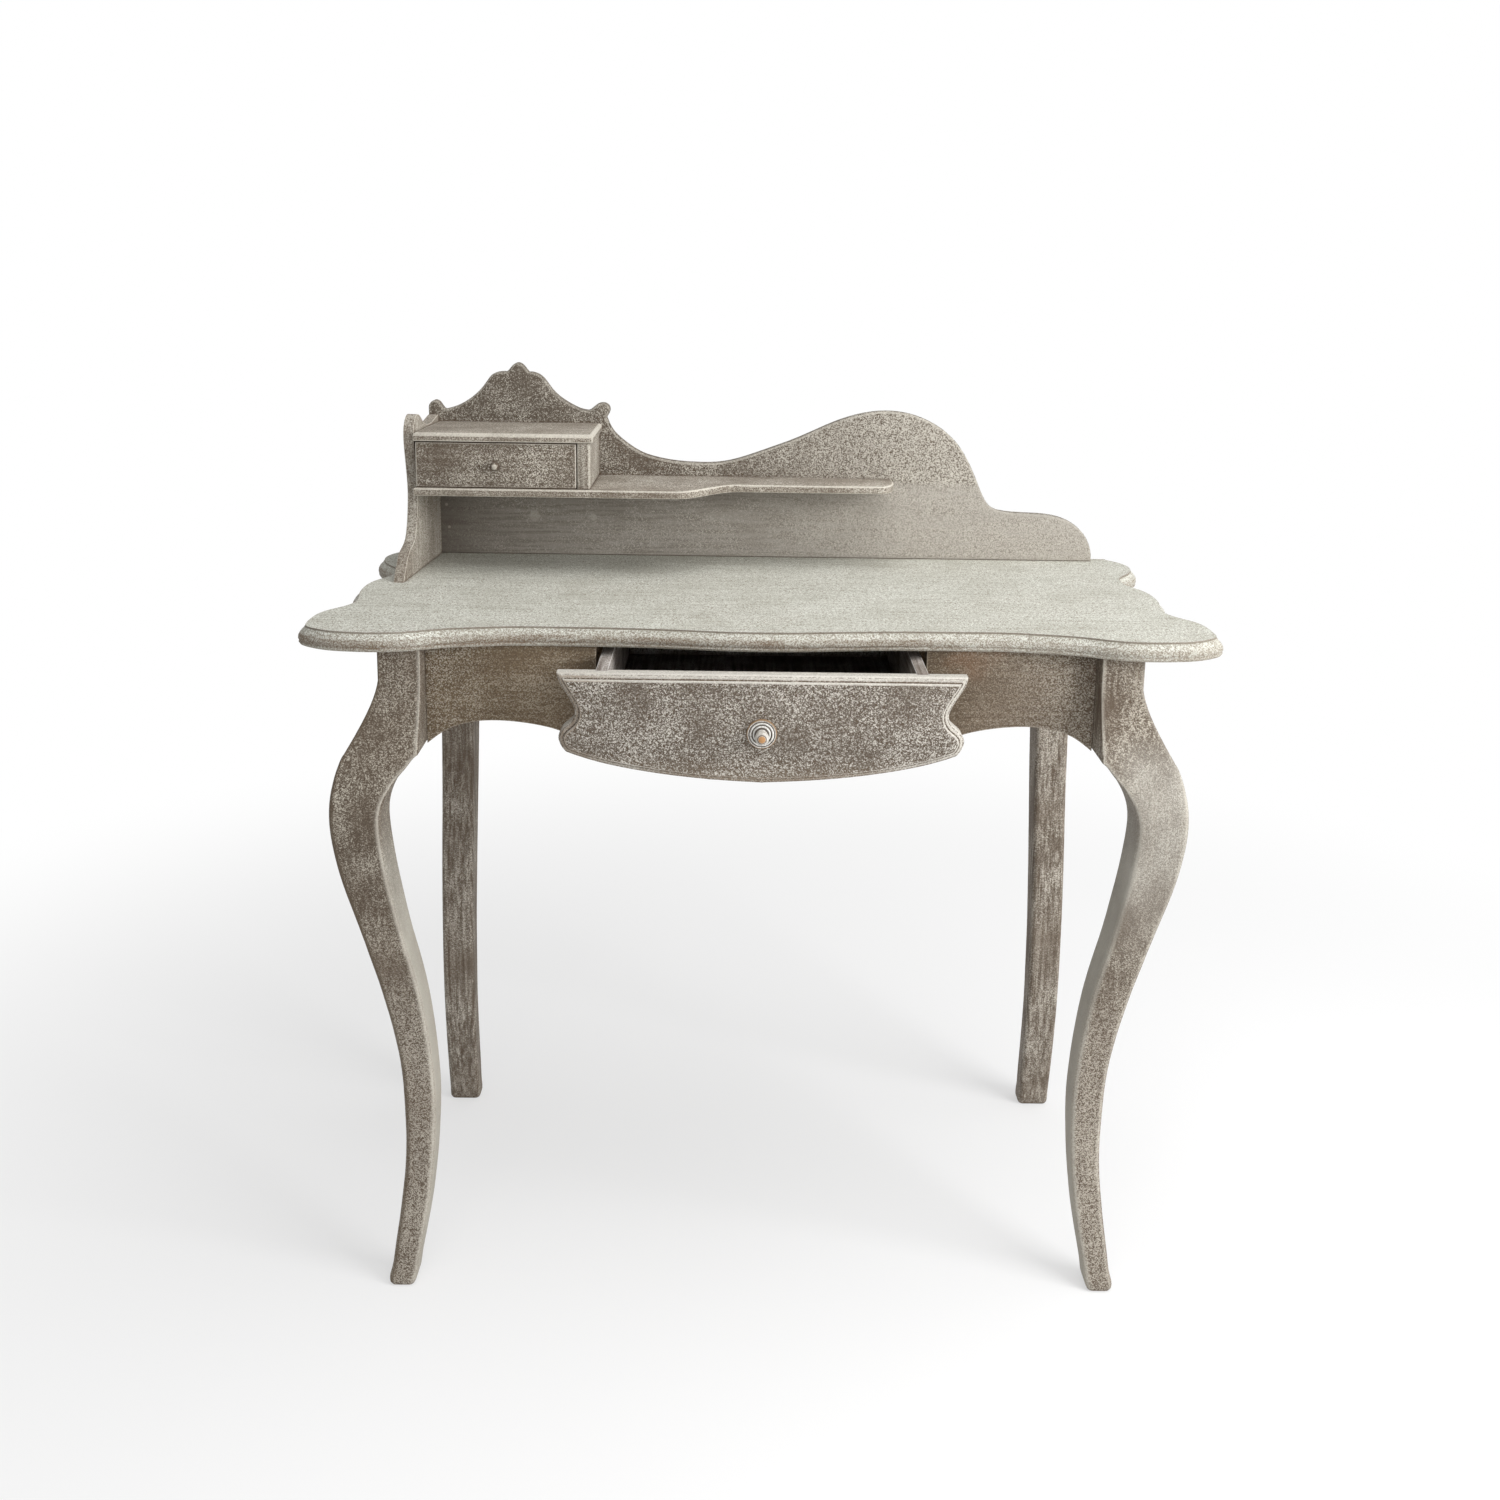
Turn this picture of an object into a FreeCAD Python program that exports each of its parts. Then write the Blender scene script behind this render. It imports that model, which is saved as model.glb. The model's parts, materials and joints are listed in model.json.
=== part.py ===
import FreeCAD, Part
import math
import os

# Small lady's writing desk (bonheur du jour) in painted wood: a serpentine
# moulded top on four cabriole legs, scalloped aprons, one overlay drawer, and
# a gallery with a shelf and a small box on the top.
# Millimetres. X to the right, Y to the back, Z up from the floor. While it is
# built, Y = 0 is the front face of the front leg blocks; at the end all of it
# moves so that the origin is under the middle of the whole desk.

# ---- driving dimensions -----------------------------------------------------
# top board
DESK_HEIGHT = 770.0          # floor to writing surface
TOP_THICK = 20.0
TOP_EARS = 90.0              # front ears past the outer faces of the front blocks
TOP_FRONT = -16.5            # foremost line of the ears, before the leg blocks
TOP_BEHIND = 42.0            # straight rear edge behind the rear blocks
EDGE_INSET = 8.0             # moulding, from the outer line to the flat field
EDGE_STEP = 2.0              # small step between the moulding and the field

# legs
BLOCK = 46.0                 # square block at the head of each leg
BLOCK_LENGTH = 109.0         # straight length of the block below the top
FRONT_SPAN = 820.0           # over the outer faces of the front blocks
REAR_WIDER = 8.0             # each rear block stands this much further out
REAR_BLOCK_Y = 355.0         # front face of the rear blocks
KNEE_OUT = 48.3              # how far the knee swells past the block
ANKLE_IN = 13.2              # how far the ankle draws in from the block
FOOT_LEAN = 16.0             # extra forward set of the front feet
REAR_KICK = 9.0              # extra rearward set of the rear feet
REAR_TAPER = 5.5             # how much narrower the rear legs end
LEG_ROUND = 6.0              # rounding of the long edges
BLOCK_ROUND = 2.0            # rounding of the block's upright edges
FOOT_ROUND = 4.0             # rounding round the sole

# aprons
APRON_THICK = 20.0
APRON_SETBACK = 25.0         # front apron face behind the block face
SIDE_SETBACK = 6.0           # side apron face inside the front block face
REAR_SETBACK = 8.0           # rear apron face inside the rear block face
APRON_DROP = 113.0           # depth of the apron at the legs
APRON_ARCH = 86.0            # depth of the apron at the top of its arch
REAR_DROP = 96.0
TENON_LENGTH = 22.0
TENON_THICK = 9.0
TENON_EDGE = 12.0            # shoulder above and below each tenon
TENON_CLEAR = 0.2            # glue space round each tenon
REAR_TENON = 8.0             # side apron's stub tenon in the rear leg
TENON_GAP = 3.0              # wood between the two tenons in one block
DOWEL_R = 3.0
DOWEL_LENGTH = 32.0
CORNER_BLOCK = 44.0          # leg of each triangular corner block
CORNER_BLOCK_H = 42.0

# main drawer
OPENING_HALF = 179.0         # half width of the drawer opening
DRAWER_SIDE_GAP = 5.0        # opening edge to drawer side
DRAWER_BACK_SPACE = 22.5     # shut drawer to the rear apron
DRAWER_BOX_H = 78.0          # keeps the drawer bottom below the knob's screw
DRAWER_TOP_GAP = 10.0        # underside of the top to the drawer, front and sides
DRAWER_SIDE_T = 13.0
DRAWER_BACK_T = 12.0
DRAWER_BOTTOM_T = 5.0
GROOVE_UP = 6.0              # drawer bottom above the lower edge of the sides
GROOVE_DEEP = 6.0
HOUSING_DEEP = 6.0           # how far the sides are let into the front
FRONT_THICK = 18.0           # drawer front behind its raised field
FIELD_THICK = 4.0            # raised field of the drawer front
FIELD_INSET = 6.0            # margin round the raised field
FRONT_LAP = 34.5             # drawer front past each edge of the opening
FRONT_HEIGHT = 117.0
OPEN_AT_REST = 59.0          # how far the drawer stands open
CLOSED_GAP = 0.5             # drawer front to apron when shut
RUNNER_CLEAR = 0.6           # drawer side over its runner
GUIDE_CLEAR = 1.2            # drawer side to its guide
RUNNER_BASE = 15.0
GUIDE_WIDTH = 14.0
KICKER_WIDTH = 30.0
RAIL_DEPTH = 46.0
RAIL_THICK = 15.0

# drawer knob and rosette
KNOB_UP = 56.0               # knob axis above the lowest point of the front
ROSETTE_R = 15.8
ROSETTE_T = 4.5
KNOB_R = 7.6
KNOB_LENGTH = 17.0
STEM_R = 4.0
STEM_HOLE = 0.3              # bore over the stem, on the radius
SCREW_HEAD_R = 5.0
SCREW_HEAD_T = 2.4
KNOB_SCREW_R = 2.0
KNOB_SCREW_LENGTH = 16.0     # length of the screw inside the stem

# gallery
BACK_THICK = 15.0
BACK_IN = 2.0                # rear face of the backboard in from the top's rear edge
BACK_LEFT_IN = 67.5          # ends of the backboard in from the top's ears
BACK_RIGHT_IN = 55.5
BACK_PEAK = 252.0            # top of the backboard above the top
PANEL_THICK = 13.0
PANEL_DEPTH = 190.0
PANEL_HEIGHT = 195.0
PANEL_SPLAY = 3.2            # degrees, opening towards the front
SHELF_UP = 107.5             # shelf surface above the top
SHELF_THICK = 9.5
SHELF_DEEP = 136.0           # deep part, under the box
SHELF_SHALLOW = 73.0
SHELF_DEEP_LENGTH = 328.5    # from the left end of the backboard to the curve
SHELF_CURVE = 76.0           # length of the curve from deep to shallow
SHELF_LENGTH = 606.5         # from the left end of the backboard
BOX_TOP_UP = 175.5           # upper face of the box lid above the top
BOX_TOP_THICK = 10.5
BOX_DEPTH = 129.0
BOX_WIDTH = 222.5            # left end of the backboard to the outer face of the box
BOX_SIDE_T = 16.0
LID_OVERHANG = 3.5

# small drawer
SMALL_GAP = 1.2
SMALL_FRONT_T = 13.0
SMALL_SIDE_T = 8.0
SMALL_BACK_T = 7.0
SMALL_BOTTOM_T = 4.0
SMALL_GROOVE = 3.0
SMALL_BACK_SPACE = 8.0       # free space behind the small drawer
SMALL_SIDE_DROP = 5.0        # drawer sides lower than the front
SMALL_KNOB_R = 6.0
SMALL_KNOB_LENGTH = 13.0
SMALL_STEM_R = 2.6
SMALL_SCREW_R = 1.3
SMALL_HEAD_R = 3.0
SMALL_HEAD_T = 1.6
SMALL_SCREW_LENGTH = 9.0

# screws, nails and pins
SCREW_R = 2.0
SCREW_WALL = 3.0             # wood between a screw head and the leg beside it
BACK_BITE = 22.0             # screws up into the backboard
PANEL_BITE = 20.0            # screws up into the side panel
NAIL_IN = 30.0               # nails in from the ends of what they hold
SHELF_NAIL_IN = 40.0
LID_NAIL_IN = 60.0
NAIL_R = 1.0
NAIL_L = 30.0
NAIL_HEAD_R = 2.2
NAIL_HEAD_T = 1.2

# ---- derived places ---------------------------------------------------------
UNDER = DESK_HEIGHT - TOP_THICK
FRONT_OUT = FRONT_SPAN / 2.0
REAR_OUT = FRONT_OUT + REAR_WIDER
FRONT_IN = FRONT_OUT - BLOCK
REAR_IN = REAR_OUT - BLOCK
REAR_BLOCK_BACK = REAR_BLOCK_Y + BLOCK
TOP_HALF_WIDTH = FRONT_OUT + TOP_EARS
TOP_REAR = REAR_BLOCK_BACK + TOP_BEHIND
APRON_BACK = APRON_SETBACK + APRON_THICK
SIDE_OUT = FRONT_OUT - SIDE_SETBACK
SIDE_IN = SIDE_OUT - APRON_THICK
REAR_APRON_BACK = REAR_BLOCK_BACK - REAR_SETBACK
REAR_APRON_FRONT = REAR_APRON_BACK - APRON_THICK

BOX_HALF = OPENING_HALF - DRAWER_SIDE_GAP
FRONT_HALF = OPENING_HALF + FRONT_LAP
DRAWER_LENGTH = REAR_APRON_FRONT - DRAWER_BACK_SPACE - APRON_SETBACK + CLOSED_GAP
SIDE_TOP = UNDER - DRAWER_TOP_GAP
SIDE_BOTTOM = SIDE_TOP - DRAWER_BOX_H
RUNNER_TOP = SIDE_BOTTOM - RUNNER_CLEAR
RAIL_TOP = RUNNER_TOP
RAIL_LOW = RAIL_TOP - RAIL_THICK
APRON_END = UNDER - RAIL_LOW  # depth of the apron beside the drawer
FRONT_BACK_Y = APRON_SETBACK - CLOSED_GAP - OPEN_AT_REST
FRONT_BASE_Y = FRONT_BACK_Y - FRONT_THICK
FIELD_Y = FRONT_BASE_Y - FIELD_THICK
DRAWER_REAR = FRONT_BACK_Y + DRAWER_LENGTH
FRONT_TOP_Z = SIDE_TOP
FRONT_LOW_Z = FRONT_TOP_Z - FRONT_HEIGHT
KNOB_Z = FRONT_LOW_Z + KNOB_UP
ROSETTE_Y = FIELD_Y - ROSETTE_T
KNOB_TIP_Y = ROSETTE_Y - KNOB_LENGTH

BACK_REAR = TOP_REAR - BACK_IN
BACK_FRONT = BACK_REAR - BACK_THICK
BACK_LEFT = BACK_LEFT_IN - TOP_HALF_WIDTH
BACK_RIGHT = TOP_HALF_WIDTH - BACK_RIGHT_IN
BOX_RIGHT = BACK_LEFT + BOX_WIDTH
SHELF_STEP_X = BACK_LEFT + SHELF_DEEP_LENGTH
SHELF_STEP_END = SHELF_STEP_X + SHELF_CURVE
SHELF_RIGHT = BACK_LEFT + SHELF_LENGTH
SHELF_Z = DESK_HEIGHT + SHELF_UP
BOX_TOP_Z = DESK_HEIGHT + BOX_TOP_UP
BOX_CEIL = BOX_TOP_Z - BOX_TOP_THICK
BOX_FRONT = BACK_FRONT - BOX_DEPTH
SMALL_RIGHT = BOX_RIGHT - BOX_SIDE_T
SPLAY = math.tan(math.radians(PANEL_SPLAY))

Y_MIDDLE = (KNOB_TIP_Y + TOP_REAR) / 2.0


def vec(x, y, z):
    return FreeCAD.Vector(x, y, z)


def box(x0, x1, y0, y1, z0, z1):
    return Part.makeBox(x1 - x0, y1 - y0, z1 - z0, vec(x0, y0, z0))


def rod(r, length, start, direction):
    return Part.makeCylinder(r, length, start, direction)


def fuse(shapes):
    solid = shapes[0].fuse(shapes[1:])
    return solid.removeSplitter()


def turned(profile, place, axis_y=-1.0):
    # profile: (distance along the axis, radius), revolved about an axis in Y
    pts = [vec(r, axis_y * a, 0) for a, r in profile]
    wire = Part.makePolygon(pts + [pts[0]])
    solid = Part.Face(wire).revolve(vec(0, 0, 0), vec(0, 1, 0), 360)
    solid.translate(place)
    return solid


def spline(points):
    if len(points) == 2:
        return Part.LineSegment(points[0], points[1]).toShape()
    curve = Part.BSplineCurve()
    curve.interpolate(points)
    return curve.toShape()


def prism(runs, direction):
    # runs: lists of points, each a smooth run; consecutive runs share ends
    face = Part.Face(Part.Wire([spline(r) for r in runs]))
    solid = face.extrude(direction)
    if solid.Volume < 0:
        solid.reverse()
    return solid


# ---- top board --------------------------------------------------------------
# Half outline at the right, as (share of the half width, share of the depth
# from the front), cut into smooth runs at the two hollow notches.
TOP_RUNS = [
    [(0.000, 0.046), (0.080, 0.049), (0.169, 0.060), (0.308, 0.073),
     (0.437, 0.076), (0.542, 0.074), (0.618, 0.060), (0.686, 0.042),
     (0.731, 0.020), (0.773, 0.0045), (0.821, -0.0015), (0.873, 0.0015),
     (0.922, 0.012), (0.964, 0.036), (0.993, 0.069), (1.000, 0.114),
     (0.999, 0.176), (0.985, 0.234), (0.958, 0.280), (0.943, 0.322)],
    [(0.943, 0.322), (0.947, 0.377), (0.956, 0.425), (0.960, 0.480),
     (0.957, 0.545), (0.946, 0.590), (0.932, 0.625), (0.922, 0.684)],
    [(0.922, 0.684), (0.933, 0.735), (0.961, 0.783), (0.982, 0.838),
     (0.988, 0.890), (0.978, 0.943), (0.944, 1.000)],
]


def sampled(points, count):
    # points along the smooth run through them, each with its direction
    curve = Part.BSplineCurve()
    curve.interpolate(points)
    lo, hi = curve.FirstParameter, curve.LastParameter
    out = []
    for i in range(count + 1):
        u = lo + (hi - lo) * i / count
        out.append((curve.value(u), curve.tangent(u)[0]))
    return out


def moved_in(runs, inset, turn):
    # runs moved sideways by inset, mitred where two of them meet; samples that
    # the mitre cuts off are left out. turn gives the side to move towards.
    moved = [[p + turn(t) * inset for p, t in run] for run in runs]
    near = 3.0 * inset + 1.0
    for k in range(len(runs) - 1):
        p, t1 = runs[k][-1]
        t2 = runs[k + 1][0][1]
        n1, half = turn(t1), turn(t1) + turn(t2)
        half = half * (1.0 / half.Length)
        tip = p + half * (inset / half.dot(n1))
        before = [m for m in moved[k][:-1]
                  if (tip - m).Length > near or (tip - m).dot(t1) > 0.3]
        after = [m for m in moved[k + 1][1:]
                 if (m - tip).Length > near or (m - tip).dot(t2) > 0.3]
        moved[k] = before + [tip]
        moved[k + 1] = [tip] + after
    return moved


def outline(inset):
    # right half from the centre front to the rear edge, moved in by inset
    depth = TOP_REAR - TOP_FRONT
    runs = [sampled([vec(a * TOP_HALF_WIDTH, TOP_FRONT + b * depth, 0) for a, b in run],
                    6 * len(run)) for run in TOP_RUNS]
    moved = moved_in(runs, inset, lambda t: vec(-t.y, t.x, 0))
    moved[0][0] = vec(0, moved[0][0].y, 0)
    last = [p for p in moved[-1][:-1] if TOP_REAR - p.y > 0.3]
    moved[-1] = last + [vec(moved[-1][-1].x, TOP_REAR, 0)]
    return moved


def top_wire(inset, z):
    half = outline(inset)
    front = [vec(-p.x, p.y, 0) for p in reversed(half[0])] + half[0][1:]
    edges = [front] + half[1:]
    rear_right = half[-1][-1]
    rear_left = vec(-rear_right.x, rear_right.y, 0)
    edges.append([rear_right, rear_left])
    for run in reversed(half[1:]):
        edges.append([vec(-p.x, p.y, 0) for p in reversed(run)])
    shapes = []
    for run in edges:
        shapes.append(spline([vec(p.x, p.y, z) for p in run]))
    return Part.Wire(shapes)


# moulding from the lower edge up: (height share, inset share)
MOULDING = [(0.00, 0.24), (0.12, 0.06), (0.24, 0.12), (0.33, 0.00),
            (0.50, 0.04), (0.68, 0.28), (0.82, 0.62), (1.00, 0.90)]
body_height = TOP_THICK - EDGE_STEP
layers = [top_wire(b * EDGE_INSET, UNDER + a * body_height) for a, b in MOULDING]
desktop = Part.makeLoft(layers, True, True)
field = Part.Face(top_wire(EDGE_INSET, UNDER + body_height / 2.0))
desktop = desktop.fuse(field.extrude(vec(0, 0, body_height / 2.0 + EDGE_STEP)))

# ---- legs -------------------------------------------------------------------
# The swell of the outer line starts on the block itself: share of the block
# from its lower end, swell as a share of the knee.
BLOCK_FLARE = [(0.676, 0.000), (0.541, 0.070), (0.353, 0.235), (0.165, 0.450)]
# Below it: share of the height from the floor to the lower end of the block,
# swell of the outer and of the inner line, both positive away from the desk.
LEG_TABLE = [
    (1.000, 0.660, 0.000), (0.982, 0.785, 0.200), (0.962, 0.880, 0.455),
    (0.940, 0.950, 0.710), (0.906, 1.000, 0.830), (0.874, 0.990, 0.815),
    (0.838, 0.935, 0.770), (0.802, 0.865, 0.722), (0.764, 0.765, 0.655),
    (0.728, 0.648, 0.582), (0.692, 0.533, 0.515), (0.654, 0.413, 0.423),
    (0.615, 0.295, 0.313), (0.577, 0.172, 0.219), (0.538, 0.072, 0.137),
    (0.500, -0.034, 0.078), (0.463, -0.110, 0.028), (0.427, -0.190, -0.012),
    (0.393, -0.228, -0.038), (0.357, -0.256, -0.066), (0.323, -0.264, -0.060),
    (0.289, -0.279, -0.042), (0.254, -0.277, -0.018), (0.222, -0.260, 0.012),
    (0.190, -0.220, 0.060), (0.158, -0.171, 0.103), (0.126, -0.122, 0.165),
    (0.095, -0.055, 0.240), (0.065, -0.004, 0.320), (0.034, 0.063, 0.383),
    (0.000, 0.114, 0.470),
]
KNEE_TOP = UNDER - BLOCK_LENGTH


def section(x0, x1, y0, y1, z, r):
    # rounded rectangle as one closed wire, starting at the same corner
    edges = []
    corners = [(x1, y0, -90.0), (x1, y1, 0.0), (x0, y1, 90.0), (x0, y0, 180.0)]
    arcs = []
    for cx, cy, a in corners:
        sx = cx - r if cx == x1 else cx + r
        sy = cy + r if cy == y0 else cy - r
        pts = []
        for d in (0.0, 45.0, 90.0):
            t = math.radians(a + d)
            pts.append(vec(sx + r * math.cos(t), sy + r * math.sin(t), z))
        arcs.append(pts)
    for k in range(4):
        edges.append(Part.Arc(*arcs[k]).toShape())
        edges.append(Part.LineSegment(arcs[k][2], arcs[(k + 1) % 4][0]).toShape())
    return Part.Wire(edges)


def swell(share):
    return share * KNEE_OUT if share > 0 else share * ANKLE_IN / 0.279


def profile():
    # height, share of the leg, outer and inner swell, from the top down
    rows = [(KNEE_TOP + k * BLOCK_LENGTH, 1.0, swell(outer), 0.0)
            for k, outer in BLOCK_FLARE]
    return rows + [(t * KNEE_TOP, t, swell(outer), inner * KNEE_OUT)
                   for t, outer, inner in LEG_TABLE]


def front_leg():
    # right-hand front leg, built round its block
    stations = []
    for z, t, o, i in profile():
        lean = FOOT_LEAN * max(0.0, 1.0 - t / 0.7)
        stations.append((FRONT_IN + i, FRONT_OUT + o,
                         -0.9 * o - lean, BLOCK - 0.9 * i - lean, z, t))
    return stations


def rear_leg():
    # flat to the side, curving back: the same profile turned to the rear
    stations = []
    for z, t, o, i in profile():
        width = BLOCK + o - i
        slim = REAR_TAPER * min(1.0, max(0.0, 1.0 - t) * 6.0) * (1.0 - 0.45 * t)
        kick = REAR_KICK * max(0.0, 1.0 - t / 0.25)
        front = REAR_BLOCK_Y + 0.66 * i - 0.36 * ANKLE_IN * math.sin(
            math.pi * min(1.0, t / 0.72)) + kick
        stations.append((REAR_IN + slim, REAR_OUT, front, front + width, z, t))
    return stations


def leg(stations):
    # four lengths that share their end sections: head, swell on the block,
    # shaft and sole; the long edges grow rounder below the block
    wires = []
    for a, b, c, d, z, t in stations:
        r = BLOCK_ROUND + (LEG_ROUND - BLOCK_ROUND) * min(1.0, (1.0 - t) / 0.1)
        wires.append(section(a, b, c, d, z, min(r, 0.3 * (b - a), 0.3 * (d - c))))
    a, b, c, d, z, t = stations[-1]
    r = min(LEG_ROUND, 0.3 * (b - a), 0.3 * (d - c))
    wires[-1] = section(a, b, c, d, FOOT_ROUND, r)
    n = len(BLOCK_FLARE)
    head = Part.Face(wires[0]).extrude(vec(0, 0, UNDER - stations[0][4]))
    flare = Part.makeLoft(wires[:n + 1], True, False)
    shaft = Part.makeLoft(wires[n:], True, False)
    k = 0.35 * FOOT_ROUND
    sole = Part.makeLoft([
        wires[-1],
        section(a + k, b - k, c + k, d - k, 0.3 * FOOT_ROUND, r),
        section(a + FOOT_ROUND, b - FOOT_ROUND, c + FOOT_ROUND, d - FOOT_ROUND,
                0.0, 0.7 * r)], True, True)
    return fuse([head, flare, shaft, sole])


def mirrored(shape):
    return shape.mirror(vec(0, 0, 0), vec(1, 0, 0))


front_leg_right = leg(front_leg())
rear_leg_right = leg(rear_leg())

# ---- aprons with their tenons -----------------------------------------------
TENON_TOP = UNDER - TENON_EDGE


def tenon_x(x0, x1, y_mid, drop, grow=0.0):
    return box(x0 - grow, x1 + grow, y_mid - TENON_THICK / 2 - grow,
               y_mid + TENON_THICK / 2 + grow,
               UNDER - drop + TENON_EDGE - grow, TENON_TOP + grow)


def tenon_y(x_mid, y0, y1, drop, grow=0.0):
    return box(x_mid - TENON_THICK / 2 - grow, x_mid + TENON_THICK / 2 + grow,
               y0 - grow, y1 + grow,
               UNDER - drop + TENON_EDGE - grow, TENON_TOP + grow)


# shallow tenon depth, so that the two tenons in one block never meet
y_front_mid = APRON_SETBACK + APRON_THICK / 2.0
x_side_mid = (SIDE_OUT + SIDE_IN) / 2.0
y_rear_mid = (REAR_APRON_FRONT + REAR_APRON_BACK) / 2.0
TENON_X = min(TENON_LENGTH, x_side_mid - TENON_THICK / 2.0 - FRONT_IN - TENON_GAP)
TENON_Y = min(TENON_LENGTH, 0.6 * BLOCK)

front_span = FRONT_IN - OPENING_HALF
lower = APRON_DROP - APRON_ARCH
# share of the span from the opening to the leg, depth of the lower edge
scallop = [
    (0.00, APRON_END), (0.08, 0.6 * APRON_END + 0.4 * (APRON_ARCH + 0.54 * lower)),
    (0.16, APRON_ARCH + 0.54 * lower), (0.23, APRON_ARCH + 0.37 * lower),
    (0.31, APRON_ARCH + 0.22 * lower), (0.44, APRON_ARCH + 0.07 * lower),
    (0.61, APRON_ARCH), (0.77, APRON_ARCH + 0.12 * lower),
    (0.88, APRON_ARCH + 0.40 * lower), (0.95, APRON_ARCH + 0.72 * lower),
    (1.00, APRON_DROP)]
scallop = [(OPENING_HALF + t * front_span, d) for t, d in scallop]
low = [vec(x, APRON_SETBACK, UNDER - d) for x, d in scallop]
front_apron_right = prism([
    low,
    [low[-1], vec(FRONT_IN, APRON_SETBACK, UNDER)],
    [vec(FRONT_IN, APRON_SETBACK, UNDER), vec(OPENING_HALF, APRON_SETBACK, UNDER)],
    [vec(OPENING_HALF, APRON_SETBACK, UNDER), low[0]]], vec(0, APRON_THICK, 0))
front_apron_right = fuse([front_apron_right,
                          tenon_x(FRONT_IN - 4.0, FRONT_IN + TENON_X, y_front_mid, APRON_ARCH)])

side_span = REAR_BLOCK_Y - BLOCK
side_curve = [
    (0.00, 1.00), (0.06, 0.55), (0.14, 0.10), (0.24, 0.00), (0.36, 0.20),
    (0.50, 0.42), (0.64, 0.20), (0.76, 0.00), (0.86, 0.10), (0.94, 0.55),
    (1.00, 1.00)]
side_curve = [(t, APRON_ARCH + k * lower) for t, k in side_curve]
low = [vec(SIDE_OUT, BLOCK + t * side_span, UNDER - d) for t, d in side_curve]
side_apron_right = prism([
    low,
    [low[-1], vec(SIDE_OUT, REAR_BLOCK_Y, UNDER)],
    [vec(SIDE_OUT, REAR_BLOCK_Y, UNDER), vec(SIDE_OUT, BLOCK, UNDER)],
    [vec(SIDE_OUT, BLOCK, UNDER), low[0]]], vec(-APRON_THICK, 0, 0))
side_apron_right = fuse([
    side_apron_right,
    tenon_y(x_side_mid, BLOCK - TENON_Y, BLOCK + 4.0, APRON_ARCH),
    tenon_y(x_side_mid, REAR_BLOCK_Y - 4.0, REAR_BLOCK_Y + REAR_TENON, APRON_ARCH)])

rear_apron = fuse([
    box(-REAR_IN, REAR_IN, REAR_APRON_FRONT, REAR_APRON_BACK, UNDER - REAR_DROP, UNDER),
    tenon_x(REAR_IN - 4.0, REAR_IN + TENON_X, y_rear_mid, REAR_DROP),
    tenon_x(-REAR_IN - TENON_X, -REAR_IN + 4.0, y_rear_mid, REAR_DROP)])

front_leg_right = front_leg_right.cut(
    tenon_x(FRONT_IN - 1.0, FRONT_IN + TENON_X, y_front_mid, APRON_ARCH, TENON_CLEAR)).cut(
    tenon_y(x_side_mid, BLOCK - TENON_Y, BLOCK + 1.0, APRON_ARCH, TENON_CLEAR))
rear_leg_right = rear_leg_right.cut(
    tenon_x(REAR_IN - 1.0, REAR_IN + TENON_X, y_rear_mid, REAR_DROP, TENON_CLEAR)).cut(
    tenon_y(x_side_mid, REAR_BLOCK_Y - 1.0, REAR_BLOCK_Y + REAR_TENON, APRON_ARCH,
            TENON_CLEAR))

# rail under the drawer, dowelled between the two front aprons
rail = box(-OPENING_HALF, OPENING_HALF, APRON_SETBACK, APRON_SETBACK + RAIL_DEPTH,
           RAIL_LOW, RAIL_TOP)
dowels = []
for sx in (-1, 1):
    start = vec(sx * OPENING_HALF - DOWEL_LENGTH / 2.0, y_front_mid,
                (RAIL_LOW + RAIL_TOP) / 2.0)
    dowels.append(rod(DOWEL_R, DOWEL_LENGTH, start, vec(1, 0, 0)))
rail = rail.cut(dowels[0]).cut(dowels[1])
front_apron_right = front_apron_right.cut(dowels[1])

# ---- drawer runners, guides and kickers -------------------------------------
GUIDE_X = BOX_HALF + GUIDE_CLEAR
runner_in = BOX_HALF - DRAWER_SIDE_T - 6.0
runner_y0 = APRON_SETBACK + RAIL_DEPTH
runner_right = fuse([
    box(runner_in, GUIDE_X + GUIDE_WIDTH, runner_y0, REAR_APRON_FRONT,
        RUNNER_TOP - RUNNER_BASE, RUNNER_TOP),
    box(GUIDE_X, GUIDE_X + GUIDE_WIDTH, runner_y0, REAR_APRON_FRONT,
        RUNNER_TOP - RUNNER_BASE, UNDER)])
KICKER_T = DRAWER_TOP_GAP - RUNNER_CLEAR
kicker_right = box(GUIDE_X - KICKER_WIDTH, GUIDE_X, runner_y0, REAR_APRON_FRONT,
                   UNDER - KICKER_T, UNDER)

# ---- corner blocks and their screws -----------------------------------------


def corner(x, y, dx, dy):
    # triangular block in the angle at (x, y); dx, dy point into the desk
    a = vec(x, y, UNDER - CORNER_BLOCK_H)
    b = vec(x + dx * CORNER_BLOCK, y, UNDER - CORNER_BLOCK_H)
    c = vec(x, y + dy * CORNER_BLOCK, UNDER - CORNER_BLOCK_H)
    solid = Part.Face(Part.makePolygon([a, b, c, a])).extrude(vec(0, 0, CORNER_BLOCK_H))
    if solid.Volume < 0:
        solid.reverse()
    return solid


block_front_right = corner(SIDE_IN, APRON_BACK, -1, 1)
block_rear_right = corner(SIDE_IN, REAR_APRON_FRONT, -1, -1)
# the blocks clear the leg heads that stand into the corner
for head in (box(FRONT_IN - 0.5, FRONT_OUT, 0, BLOCK + 0.5, 0, UNDER + 1),
             box(REAR_IN - 0.5, REAR_OUT, REAR_BLOCK_Y - 0.5, REAR_BLOCK_BACK, 0, UNDER + 1)):
    block_front_right = block_front_right.cut(head)
    block_rear_right = block_rear_right.cut(head)


def screw(start, direction, r, length):
    return fuse([rod(r, length, start, direction),
                 rod(2.0 * r, r, start - direction * r, direction)])


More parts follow.
